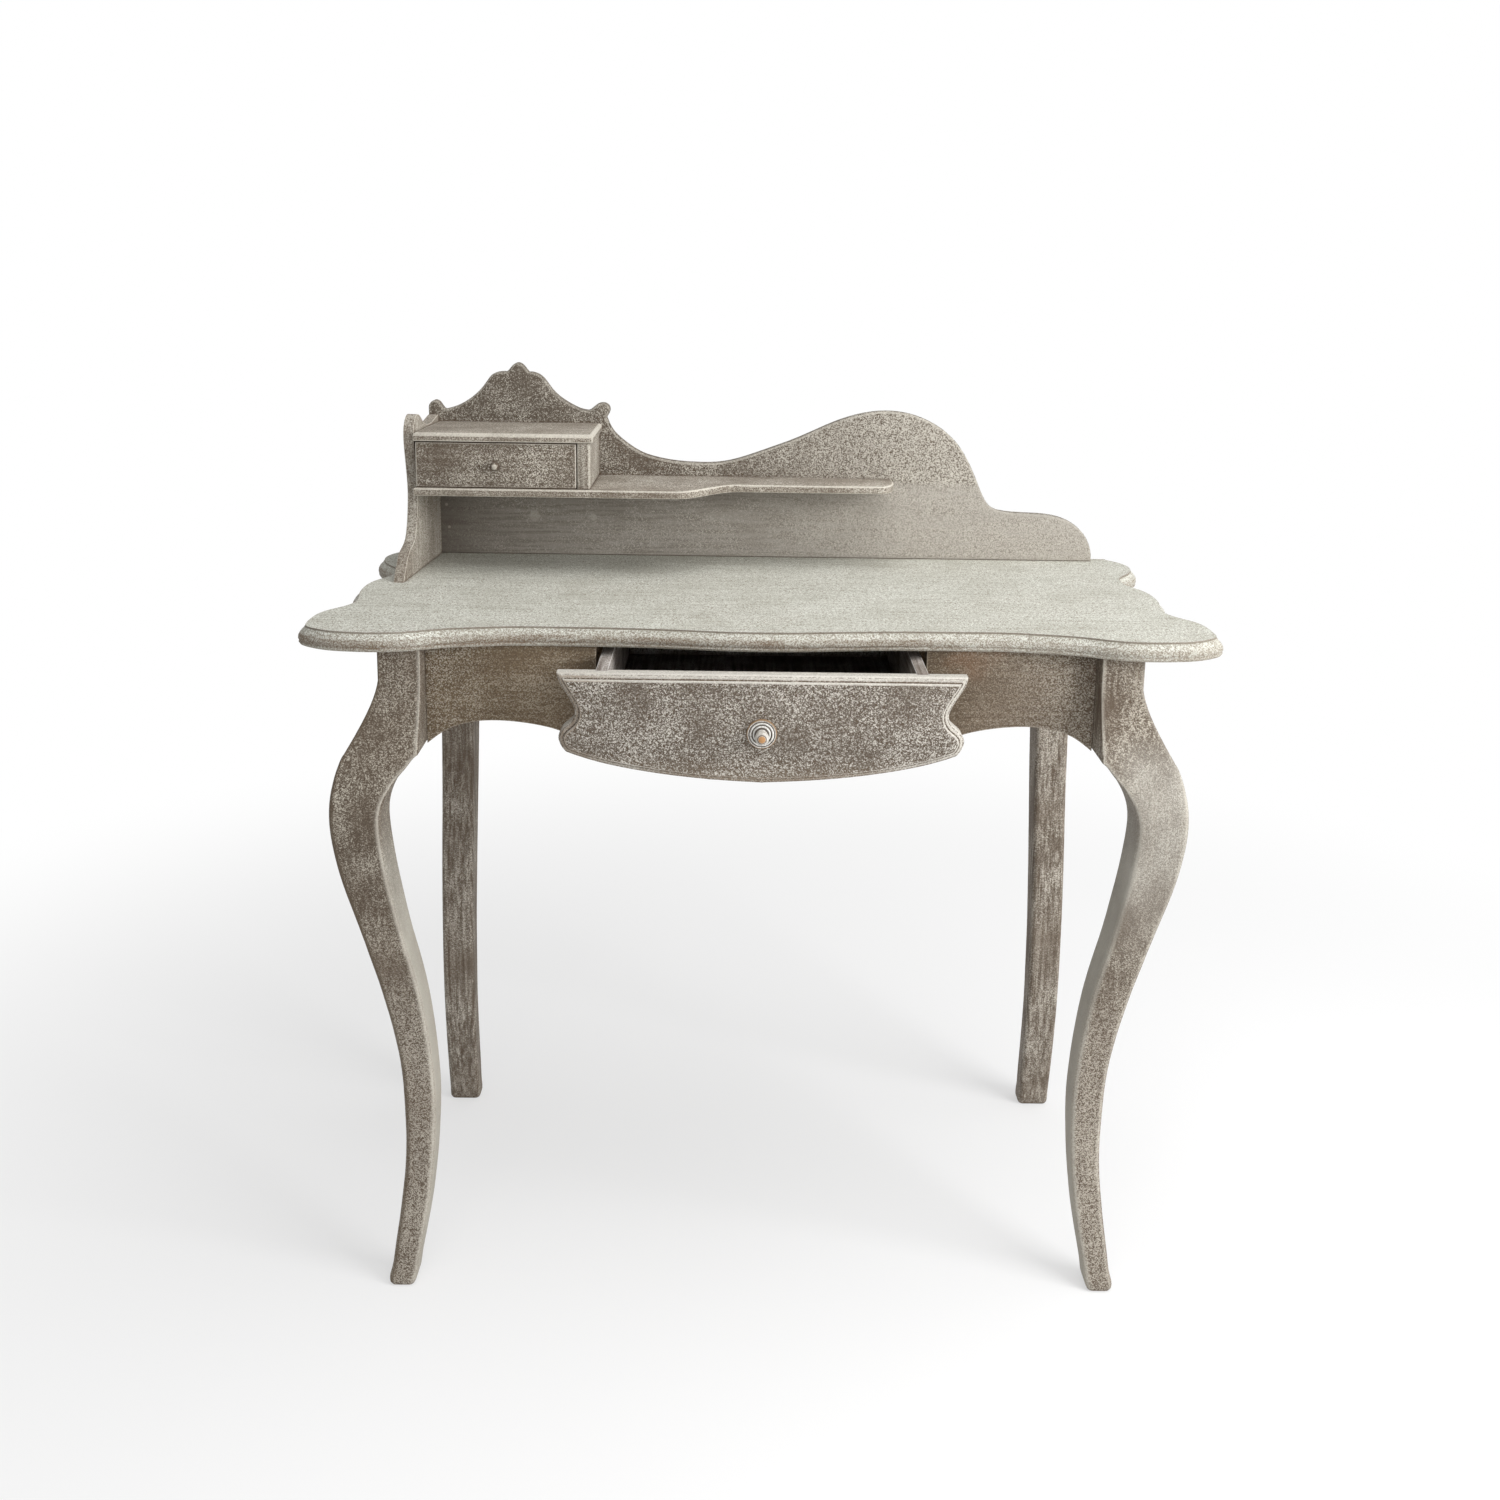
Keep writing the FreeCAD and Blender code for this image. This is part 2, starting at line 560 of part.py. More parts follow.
up = vec(0, 0, 1)
off = CORNER_BLOCK * 0.30
# the rear pair stands clear of the leg heads beside it
fix_points = [(SIDE_IN - off, APRON_BACK + off),
              (REAR_IN - 2.0 * SCREW_R - SCREW_WALL, REAR_APRON_FRONT - off)]
top_screws = []
for x, y in fix_points:
    for sx in (-1, 1):
        top_screws.append(screw(vec(sx * x, y, UNDER - CORNER_BLOCK_H), up,
                                SCREW_R, CORNER_BLOCK_H + 0.6 * TOP_THICK))
corner_screws = []
screw_z = UNDER - CORNER_BLOCK_H / 2.0
for y, dy, wall in ((APRON_BACK, -1, APRON_BACK), (REAR_APRON_FRONT, 1, REAR_APRON_FRONT)):
    inner_y = y - dy * 0.72 * CORNER_BLOCK
    for sx in (-1, 1):
        # into the side apron
        x0 = SIDE_IN - (1.0 - 0.72) * CORNER_BLOCK
        corner_screws.append(screw(
            vec(sx * x0, inner_y, screw_z), vec(sx, 0, 0), SCREW_R,
            (1.0 - 0.72) * CORNER_BLOCK + 0.6 * APRON_THICK))
        # into the front or rear apron
        x1 = SIDE_IN - 0.72 * CORNER_BLOCK
        y1 = y - dy * (1.0 - 0.72) * CORNER_BLOCK
        corner_screws.append(screw(
            vec(sx * x1, y1, screw_z - 9.0), vec(0, dy, 0), SCREW_R,
            (1.0 - 0.72) * CORNER_BLOCK + 0.6 * APRON_THICK))

# ---- main drawer ------------------------------------------------------------
# Half outline of the front, from the middle of the top edge round to the
# bottom: shares of the half width and of the height below the top.
FRONT_RUNS = [
    [(1.000, 0.000), (0.988, 0.084), (0.952, 0.195), (0.925, 0.285),
     (0.913, 0.359), (0.930, 0.438), (0.972, 0.508), (0.992, 0.584),
     (0.984, 0.661), (0.955, 0.733)],
    [(0.955, 0.733), (0.840, 0.804), (0.630, 0.890), (0.420, 0.946),
     (0.200, 0.982), (0.000, 1.000)],
]


def front_wire(inset, y):
    runs = [sampled([vec(a * FRONT_HALF, 0, FRONT_TOP_Z - b * FRONT_HEIGHT) for a, b in run],
                    5 * len(run)) for run in FRONT_RUNS]
    side, foot = moved_in(runs, inset, lambda t: vec(t.z, 0, -t.x))
    # the side starts where it crosses the top line moved down by the inset
    edge = FRONT_TOP_Z - inset
    k = 1
    while side[k].z > edge - 0.3:
        k += 1
    p, q = side[k - 1], side[k]
    if p.z > edge:
        p = p + (q - p) * ((p.z - edge) / (p.z - q.z))
    side = [vec(p.x, 0, edge)] + side[k:]
    foot[-1] = vec(0, 0, foot[-1].z)
    bottom = foot + [vec(-p.x, 0, p.z) for p in reversed(foot)][1:]
    left = [vec(-p.x, 0, p.z) for p in reversed(side)]
    wires = [side, bottom, left, [left[-1], side[0]]]
    return Part.Wire([spline([vec(p.x, y, p.z) for p in run]) for run in wires])


drawer_front = Part.Face(front_wire(0.0, FRONT_BACK_Y)).extrude(vec(0, -FRONT_THICK + 3.0, 0))
bevel = Part.makeLoft([front_wire(0.0, FRONT_BASE_Y + 3.0), front_wire(3.0, FRONT_BASE_Y)],
                      True, True)
raised = Part.makeLoft([front_wire(FIELD_INSET, FRONT_BASE_Y + 2.0),
                        front_wire(FIELD_INSET, FIELD_Y + 1.0),
                        front_wire(FIELD_INSET + 1.0, FIELD_Y)], True, True)
drawer_front = drawer_front.fuse([bevel, raised])

side_front_y = FRONT_BACK_Y - HOUSING_DEEP
drawer_side_right = box(BOX_HALF - DRAWER_SIDE_T, BOX_HALF, side_front_y, DRAWER_REAR,
                        SIDE_BOTTOM, SIDE_TOP)
groove_z = SIDE_BOTTOM + GROOVE_UP
bottom_half = BOX_HALF - DRAWER_SIDE_T + GROOVE_DEEP
drawer_bottom = box(-bottom_half, bottom_half, side_front_y, DRAWER_REAR,
                    groove_z, groove_z + DRAWER_BOTTOM_T)
drawer_side_right = drawer_side_right.cut(drawer_bottom)
drawer_back = box(-BOX_HALF + DRAWER_SIDE_T, BOX_HALF - DRAWER_SIDE_T,
                  DRAWER_REAR - DRAWER_BACK_T, DRAWER_REAR,
                  groove_z + DRAWER_BOTTOM_T, SIDE_TOP - 4.0)
drawer_front = drawer_front.cut(drawer_bottom)
drawer_front = drawer_front.cut(box(BOX_HALF - DRAWER_SIDE_T, BOX_HALF, side_front_y,
                                    DRAWER_REAR, SIDE_BOTTOM, SIDE_TOP))
drawer_front = drawer_front.cut(box(-BOX_HALF, -BOX_HALF + DRAWER_SIDE_T, side_front_y,
                                    DRAWER_REAR, SIDE_BOTTOM, SIDE_TOP))
# finger-wide nails through the drawer sides into the back
drawer_nails = []
for sx in (-1, 1):
    for k in (0.35, 0.75):
        z = SIDE_BOTTOM + k * DRAWER_BOX_H
        start = vec(sx * BOX_HALF, DRAWER_REAR - DRAWER_BACK_T / 2.0, z)
        drawer_nails.append(rod(NAIL_R, NAIL_L, start, vec(-sx, 0, 0)))
for nail in drawer_nails:
    drawer_side_right = drawer_side_right.cut(nail)
    drawer_back = drawer_back.cut(nail)

# knob, rosette and the screw from inside
through = FIELD_Y - FRONT_BACK_Y
rosette = turned([
    (0.0, STEM_R + STEM_HOLE), (0.0, ROSETTE_R), (0.38 * ROSETTE_T, ROSETTE_R),
    (0.60 * ROSETTE_T, 0.95 * ROSETTE_R), (0.60 * ROSETTE_T, 0.86 * ROSETTE_R),
    (0.45 * ROSETTE_T, 0.83 * ROSETTE_R), (0.78 * ROSETTE_T, 0.78 * ROSETTE_R),
    (0.82 * ROSETTE_T, 0.70 * ROSETTE_R), (0.55 * ROSETTE_T, 0.66 * ROSETTE_R),
    (0.55 * ROSETTE_T, 0.62 * ROSETTE_R), (0.92 * ROSETTE_T, 0.57 * ROSETTE_R),
    (ROSETTE_T, 0.46 * ROSETTE_R), (ROSETTE_T, STEM_R + STEM_HOLE)],
    vec(0, FIELD_Y, KNOB_Z))
stem_back = FRONT_BACK_Y - FIELD_Y - 2.0
knob = turned([
    (-stem_back, KNOB_SCREW_R), (-stem_back, STEM_R), (ROSETTE_T, STEM_R),
    (ROSETTE_T, 0.80 * KNOB_R), (ROSETTE_T + 0.10 * KNOB_LENGTH, 0.80 * KNOB_R),
    (ROSETTE_T + 0.16 * KNOB_LENGTH, 0.56 * KNOB_R),
    (ROSETTE_T + 0.30 * KNOB_LENGTH, 0.50 * KNOB_R),
    (ROSETTE_T + 0.42 * KNOB_LENGTH, 0.62 * KNOB_R),
    (ROSETTE_T + 0.53 * KNOB_LENGTH, 0.90 * KNOB_R),
    (ROSETTE_T + 0.66 * KNOB_LENGTH, KNOB_R),
    (ROSETTE_T + 0.80 * KNOB_LENGTH, 0.93 * KNOB_R),
    (ROSETTE_T + 0.92 * KNOB_LENGTH, 0.66 * KNOB_R),
    (ROSETTE_T + 0.985 * KNOB_LENGTH, 0.30 * KNOB_R),
    (ROSETTE_T + KNOB_LENGTH, 0.0),
    (-stem_back + KNOB_SCREW_LENGTH, 0.0), (-stem_back + KNOB_SCREW_LENGTH, KNOB_SCREW_R)],
    vec(0, FIELD_Y, KNOB_Z))
drawer_front = drawer_front.cut(rod(STEM_R + STEM_HOLE, FRONT_THICK + FIELD_THICK + 2.0,
                                    vec(0, FIELD_Y - 1.0, KNOB_Z), vec(0, 1, 0)))
knob_screw = fuse([
    rod(KNOB_SCREW_R, KNOB_SCREW_LENGTH + 2.0, vec(0, FRONT_BACK_Y, KNOB_Z), vec(0, -1, 0)),
    rod(SCREW_HEAD_R, SCREW_HEAD_T, vec(0, FRONT_BACK_Y, KNOB_Z), vec(0, 1, 0))])

# ---- gallery ----------------------------------------------------------------
# Backboard: shares of its width from the left and of its height at the peak.
BACK_RUNS = [
    [(0.000, 0.000), (0.000, 0.765)],
    [(0.000, 0.765), (0.0035, 0.792), (0.0095, 0.802), (0.0155, 0.793),
     (0.0195, 0.774), (0.0245, 0.756)],
    [(0.0245, 0.756), (0.046, 0.781), (0.061, 0.812), (0.075, 0.852),
     (0.087, 0.903), (0.096, 0.940), (0.104, 0.951), (0.1165, 0.953)],
    [(0.1165, 0.953), (0.1225, 0.974), (0.1275, 0.993), (0.1325, 1.000),
     (0.1385, 0.994), (0.1440, 0.975), (0.1490, 0.953)],
    [(0.1490, 0.953), (0.1590, 0.949), (0.1670, 0.935), (0.1740, 0.910),
     (0.1830, 0.867), (0.1960, 0.824), (0.2110, 0.791), (0.2260, 0.767),
     (0.2375, 0.760)],
    [(0.2375, 0.760), (0.2435, 0.772), (0.2505, 0.792), (0.2585, 0.800),
     (0.2665, 0.790), (0.2695, 0.769), (0.2680, 0.746), (0.2645, 0.724)],
    [(0.2645, 0.724), (0.2680, 0.694), (0.2745, 0.655), (0.2850, 0.618),
     (0.3000, 0.578), (0.3160, 0.545), (0.3400, 0.518), (0.3660, 0.502),
     (0.3940, 0.495), (0.4240, 0.495), (0.4500, 0.508), (0.4790, 0.538),
     (0.5090, 0.576), (0.5460, 0.625), (0.5770, 0.674), (0.6080, 0.722),
     (0.6390, 0.757), (0.6680, 0.775), (0.6940, 0.776), (0.7190, 0.762),
     (0.7440, 0.731), (0.7650, 0.690), (0.7900, 0.610), (0.8100, 0.500),
     (0.8270, 0.370), (0.8410, 0.290), (0.8560, 0.262)],
    [(0.8560, 0.262), (0.8800, 0.252), (0.9100, 0.248), (0.9390, 0.238),
     (0.9610, 0.214), (0.9790, 0.173), (0.9915, 0.118), (0.9980, 0.060),
     (1.000, 0.000)],
    [(1.000, 0.000), (0.000, 0.000)],
]
back_width = BACK_RIGHT - BACK_LEFT
backboard = prism([[vec(BACK_LEFT + a * back_width, BACK_FRONT,
                        DESK_HEIGHT + b * BACK_PEAK) for a, b in run]
                   for run in BACK_RUNS], vec(0, BACK_THICK, 0))

# Side panel, drawn against its inner face: shares of the depth (from the
# backboard forward) and of the height.
PANEL_RUNS = [
    [(-0.03, 0.000), (1.000, 0.000)],
    [(1.000, 0.000), (0.978, 0.030), (0.930, 0.085), (0.865, 0.150),
     (0.775, 0.185), (0.700, 0.220), (0.650, 0.290), (0.615, 0.400),
     (0.600, 0.520), (0.618, 0.640), (0.648, 0.760), (0.664, 0.850),
     (0.655, 0.925), (0.615, 0.978), (0.555, 1.000), (0.490, 0.985),
     (0.420, 0.945), (0.340, 0.915), (0.250, 0.908), (0.150, 0.918),
     (0.060, 0.935), (-0.03, 0.945)],
    [(-0.03, 0.945), (-0.03, 0.000)],
]
PANEL_IN = BACK_LEFT + PANEL_THICK / math.cos(math.radians(PANEL_SPLAY))
panel = prism([[vec(0, -a * PANEL_DEPTH, b * PANEL_HEIGHT) for a, b in run]
               for run in PANEL_RUNS], vec(-PANEL_THICK, 0, 0))
panel.rotate(vec(0, 0, 0), vec(0, 0, 1), -PANEL_SPLAY)
panel.translate(vec(PANEL_IN, BACK_FRONT, DESK_HEIGHT))
panel = panel.cut(box(BACK_LEFT - 60, BACK_LEFT + 60, BACK_FRONT, BACK_FRONT + 60,
                      DESK_HEIGHT - 1, DESK_HEIGHT + PANEL_HEIGHT + 1))


def panel_face(y):
    # inner face of the splayed panel at depth y
    return PANEL_IN - SPLAY * (BACK_FRONT - y)


SHELF_FRONT = BACK_FRONT - SHELF_DEEP
SHELF_BACK_LINE = BACK_FRONT - SHELF_SHALLOW
s0, s1 = SHELF_STEP_X, SHELF_STEP_END
curve = []
for k in range(9):
    t = k / 8.0
    ease = t * t * (3.0 - 2.0 * t)
    curve.append(vec(s0 + (s1 - s0) * t, SHELF_FRONT + (SHELF_BACK_LINE - SHELF_FRONT) * ease,
                     SHELF_Z - SHELF_THICK))
nose = 0.62 * SHELF_SHALLOW
end = []
for k in range(7):
    a = math.radians(90.0 * k / 6.0)
    end.append(vec(SHELF_RIGHT - 0.45 * nose * (1.0 - math.sin(a)),
                   SHELF_BACK_LINE + nose * (1.0 - math.cos(a)), SHELF_Z - SHELF_THICK))
corner_fl = vec(panel_face(SHELF_FRONT), SHELF_FRONT, SHELF_Z - SHELF_THICK)
corner_bl = vec(panel_face(BACK_FRONT), BACK_FRONT, SHELF_Z - SHELF_THICK)
corner_br = vec(SHELF_RIGHT, BACK_FRONT, SHELF_Z - SHELF_THICK)
shelf = prism([
    [corner_fl, curve[0]], curve, [curve[-1], end[0]], end,
    [end[-1], corner_br], [corner_br, corner_bl], [corner_bl, corner_fl]],
    vec(0, 0, SHELF_THICK))

box_side = box(SMALL_RIGHT, BOX_RIGHT, BOX_FRONT, BACK_FRONT, SHELF_Z, BOX_CEIL)
lid_front = BOX_FRONT - LID_OVERHANG
lid_right = BOX_RIGHT + LID_OVERHANG
lid_base = [vec(panel_face(lid_front), lid_front, BOX_CEIL), vec(lid_right, lid_front, BOX_CEIL),
            vec(lid_right, BACK_FRONT, BOX_CEIL), vec(panel_face(BACK_FRONT), BACK_FRONT, BOX_CEIL)]
lid_runs = [[lid_base[k], lid_base[(k + 1) % 4]] for k in range(4)]
box_top = prism(lid_runs, vec(0, 0, BOX_TOP_THICK))
# the front end of the panel's scroll stands behind the lid's front edge
box_top = box_top.cut(panel)

# ---- small drawer -----------------------------------------------------------
small_left = panel_face(BOX_FRONT + SMALL_FRONT_T) + SMALL_GAP
small_right = SMALL_RIGHT - SMALL_GAP
small_top = BOX_CEIL - SMALL_GAP
small_low = SHELF_Z + 0.4
small_body_left = PANEL_IN + SMALL_GAP
small_rear = BACK_FRONT - SMALL_BACK_SPACE
small_front = box(small_left, small_right, BOX_FRONT, BOX_FRONT + SMALL_FRONT_T,
                  small_low, small_top)
small_side_y = BOX_FRONT + SMALL_FRONT_T
small_side_left = box(small_body_left, small_body_left + SMALL_SIDE_T, small_side_y, small_rear,
                      small_low, small_top - SMALL_SIDE_DROP)
small_side_right = box(small_right - SMALL_SIDE_T, small_right, small_side_y, small_rear,
                       small_low, small_top - SMALL_SIDE_DROP)
small_back = box(small_body_left + SMALL_SIDE_T, small_right - SMALL_SIDE_T,
                 small_rear - SMALL_BACK_T, small_rear, small_low + SMALL_GROOVE
                 + SMALL_BOTTOM_T, small_top - SMALL_SIDE_DROP)
small_bottom = box(small_body_left + SMALL_SIDE_T - SMALL_GROOVE,
                   small_right - SMALL_SIDE_T + SMALL_GROOVE,
                   small_side_y - SMALL_GROOVE, small_rear,
                   small_low + SMALL_GROOVE, small_low + SMALL_GROOVE + SMALL_BOTTOM_T)
small_side_left = small_side_left.cut(small_bottom)
small_side_right = small_side_right.cut(small_bottom)
small_front = small_front.cut(small_bottom)
small_knob_x = (small_left + small_right) / 2.0
small_knob_z = (small_low + small_top) / 2.0
small_stem = SMALL_FRONT_T - 1.0
L = SMALL_KNOB_LENGTH
R = SMALL_KNOB_R
small_knob = turned([
    (-small_stem, SMALL_SCREW_R), (-small_stem, SMALL_STEM_R), (0.0, SMALL_STEM_R),
    (0.0, 0.78 * R), (0.12 * L, 0.78 * R), (0.20 * L, 0.50 * R), (0.38 * L, 0.48 * R),
    (0.55 * L, 0.88 * R), (0.70 * L, R), (0.85 * L, 0.88 * R), (0.96 * L, 0.48 * R),
    (L, 0.0), (-small_stem + SMALL_SCREW_LENGTH, 0.0),
    (-small_stem + SMALL_SCREW_LENGTH, SMALL_SCREW_R)],
    vec(small_knob_x, BOX_FRONT, small_knob_z))
small_front = small_front.cut(rod(SMALL_STEM_R + STEM_HOLE, SMALL_FRONT_T + 2.0,
                                  vec(small_knob_x, BOX_FRONT - 1.0, small_knob_z),
                                  vec(0, 1, 0)))
small_screw = fuse([
    rod(SMALL_SCREW_R, SMALL_SCREW_LENGTH + 1.0,
        vec(small_knob_x, small_side_y, small_knob_z), vec(0, -1, 0)),
    rod(SMALL_HEAD_R, SMALL_HEAD_T, vec(small_knob_x, small_side_y, small_knob_z),
        vec(0, 1, 0))])
small_nails = []
for x, dx in ((small_body_left, 1), (small_right, -1)):
    for k in (0.45, 0.80):
        z = small_low + k * (small_top - SMALL_SIDE_DROP - small_low)
        small_nails.append(rod(0.8, SMALL_SIDE_T + 8.0,
                               vec(x, small_rear - SMALL_BACK_T / 2.0, z), vec(dx, 0, 0)))
for nail in small_nails:
    small_side_left = small_side_left.cut(nail)
    small_side_right = small_side_right.cut(nail)
    small_back = small_back.cut(nail)

# ---- gallery fixings --------------------------------------------------------
gallery_screws = []
y_mid = BACK_FRONT + BACK_THICK / 2.0
for t in (0.08, 0.36, 0.64, 0.92):
    x = BACK_LEFT + t * back_width
    gallery_screws.append(screw(vec(x, y_mid, UNDER + SCREW_R), up, SCREW_R,
                                TOP_THICK + BACK_BITE))
for t in (0.30, 0.80):
    y = BACK_FRONT - t * PANEL_DEPTH
    x = panel_face(y) - PANEL_THICK / 2.0
    gallery_screws.append(screw(vec(x, y, UNDER + SCREW_R), up, SCREW_R,
                                TOP_THICK + PANEL_BITE))


def nail(start, direction, length=NAIL_L):
    return fuse([rod(NAIL_R, length, start, direction),
                 rod(NAIL_HEAD_R, NAIL_HEAD_T, start, direction)])


gallery_nails = []
shelf_mid = SHELF_Z - SHELF_THICK / 2.0
for x in (PANEL_IN + NAIL_IN, BOX_RIGHT + NAIL_IN, SHELF_RIGHT - SHELF_NAIL_IN):
    gallery_nails.append(nail(vec(x, BACK_REAR, shelf_mid), vec(0, -1, 0)))
box_mid = (SHELF_Z + BOX_CEIL) / 2.0
gallery_nails.append(nail(vec(BOX_RIGHT - BOX_SIDE_T / 2.0, BACK_REAR, box_mid),
                          vec(0, -1, 0)))
gallery_nails.append(nail(vec(BOX_RIGHT - LID_NAIL_IN, BACK_REAR, BOX_TOP_Z - BOX_TOP_THICK / 2.0),
                          vec(0, -1, 0)))
side = vec(math.cos(math.radians(PANEL_SPLAY)), -math.sin(math.radians(PANEL_SPLAY)), 0)
for t in (0.20, 0.52):
    y = BACK_FRONT - t * PANEL_DEPTH
    x = panel_face(y) - PANEL_THICK / math.cos(math.radians(PANEL_SPLAY))
    gallery_nails.append(nail(vec(x, y, shelf_mid), side))

# ---- bores for the fixings --------------------------------------------------


def bored(shape, tools):
    for tool in tools:
        if shape.BoundBox.intersect(tool.BoundBox):
            shape = shape.cut(tool)
    return shape


front_leg_left = mirrored(front_leg_right)
rear_leg_left = mirrored(rear_leg_right)
front_apron_left = mirrored(front_apron_right)
side_apron_left = mirrored(side_apron_right)
runner_left = mirrored(runner_right)
kicker_left = mirrored(kicker_right)
drawer_side_left = mirrored(drawer_side_right)
block_front_left = mirrored(block_front_right)
block_rear_left = mirrored(block_rear_right)

fixings = top_screws + corner_screws
desktop = bored(desktop, top_screws + gallery_screws)
front_apron_left = bored(front_apron_left, corner_screws)
front_apron_right = bored(front_apron_right, corner_screws)
side_apron_left = bored(side_apron_left, corner_screws)
side_apron_right = bored(side_apron_right, corner_screws)
rear_apron = bored(rear_apron, corner_screws)
block_front_left = bored(block_front_left, fixings)
block_front_right = bored(block_front_right, fixings)
block_rear_left = bored(block_rear_left, fixings)
block_rear_right = bored(block_rear_right, fixings)
backboard = bored(backboard, gallery_screws + gallery_nails)
panel = bored(panel, gallery_screws + gallery_nails)
shelf = bored(shelf, gallery_nails)
box_side = bored(box_side, gallery_nails)
box_top = bored(box_top, gallery_nails)

NODES = {
    "desktop": desktop,
    "front_leg_left": front_leg_left,
    "front_leg_right": front_leg_right,
    "rear_leg_left": rear_leg_left,
    "rear_leg_right": rear_leg_right,
    "front_apron_left": front_apron_left,
    "front_apron_right": front_apron_right,
    "side_apron_left": side_apron_left,
    "side_apron_right": side_apron_right,
    "rear_apron": rear_apron,
    "lower_drawer_rail": rail,
    "rail_dowels": Part.makeCompound(dowels),
    "drawer_runner_left": runner_left,
    "drawer_runner_right": runner_right,
    "drawer_kicker_left": kicker_left,
    "drawer_kicker_right": kicker_right,
    "corner_block_front_left": block_front_left,
    "corner_block_front_right": block_front_right,
    "corner_block_rear_left": block_rear_left,
    "corner_block_rear_right": block_rear_right,
    "top_fixing_screws": Part.makeCompound(top_screws),
    "corner_block_screws": Part.makeCompound(corner_screws),
    "gallery_backboard": backboard,
    "gallery_side_panel": panel,
    "gallery_shelf": shelf,
    "box_side": box_side,
    "box_top": box_top,
    "gallery_screws": Part.makeCompound(gallery_screws),
    "gallery_nails": Part.makeCompound(gallery_nails),
    "drawer_front": drawer_front,
    "drawer_side_left": drawer_side_left,
    "drawer_side_right": drawer_side_right,
    "drawer_back": drawer_back,
    "drawer_bottom": drawer_bottom,
    "drawer_nails": Part.makeCompound(drawer_nails),
    "knob_rosette": rosette,
    "drawer_knob": knob,
    "knob_screw": knob_screw,
    "small_drawer_front": small_front,
    "small_drawer_side_left": small_side_left,
    "small_drawer_side_right": small_side_right,
    "small_drawer_back": small_back,
    "small_drawer_bottom": small_bottom,
    "small_drawer_knob": small_knob,
    "small_knob_screw": small_screw,
    "small_drawer_nails": Part.makeCompound(small_nails),
}

os.makedirs("parts", exist_ok=True)
for name, shape in NODES.items():
    placed = shape.copy()
    placed.translate(vec(0, -Y_MIDDLE, 0))
    print(name, "solids", len(placed.Solids), "valid", placed.isValid(),
          "volume", round(placed.Volume))
    placed.exportStep("parts/" + name + ".step")
print("origin at y", Y_MIDDLE)
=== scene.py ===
import bpy
import bmesh
import json
import math
import numpy as np
from mathutils import Matrix, Vector

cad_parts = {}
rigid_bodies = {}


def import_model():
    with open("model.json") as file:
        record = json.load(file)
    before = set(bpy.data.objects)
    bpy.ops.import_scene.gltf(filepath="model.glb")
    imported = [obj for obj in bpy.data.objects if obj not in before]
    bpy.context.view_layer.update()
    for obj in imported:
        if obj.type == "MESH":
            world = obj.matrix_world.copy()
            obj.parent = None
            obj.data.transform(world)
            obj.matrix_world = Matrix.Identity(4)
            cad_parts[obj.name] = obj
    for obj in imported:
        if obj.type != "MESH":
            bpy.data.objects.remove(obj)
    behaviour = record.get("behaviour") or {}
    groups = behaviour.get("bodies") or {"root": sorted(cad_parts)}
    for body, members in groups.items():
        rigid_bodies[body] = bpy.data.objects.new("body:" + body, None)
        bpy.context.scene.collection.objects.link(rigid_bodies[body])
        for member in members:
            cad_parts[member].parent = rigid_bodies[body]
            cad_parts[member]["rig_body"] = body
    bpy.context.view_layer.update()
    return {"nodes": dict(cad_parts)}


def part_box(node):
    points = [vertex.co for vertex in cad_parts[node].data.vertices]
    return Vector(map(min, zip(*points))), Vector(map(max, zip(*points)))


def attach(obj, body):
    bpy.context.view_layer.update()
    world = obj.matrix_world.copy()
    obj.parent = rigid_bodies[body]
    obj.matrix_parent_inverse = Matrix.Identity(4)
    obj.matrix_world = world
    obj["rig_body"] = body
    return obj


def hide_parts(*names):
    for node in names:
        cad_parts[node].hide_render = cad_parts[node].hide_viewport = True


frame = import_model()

nodes = frame["nodes"]
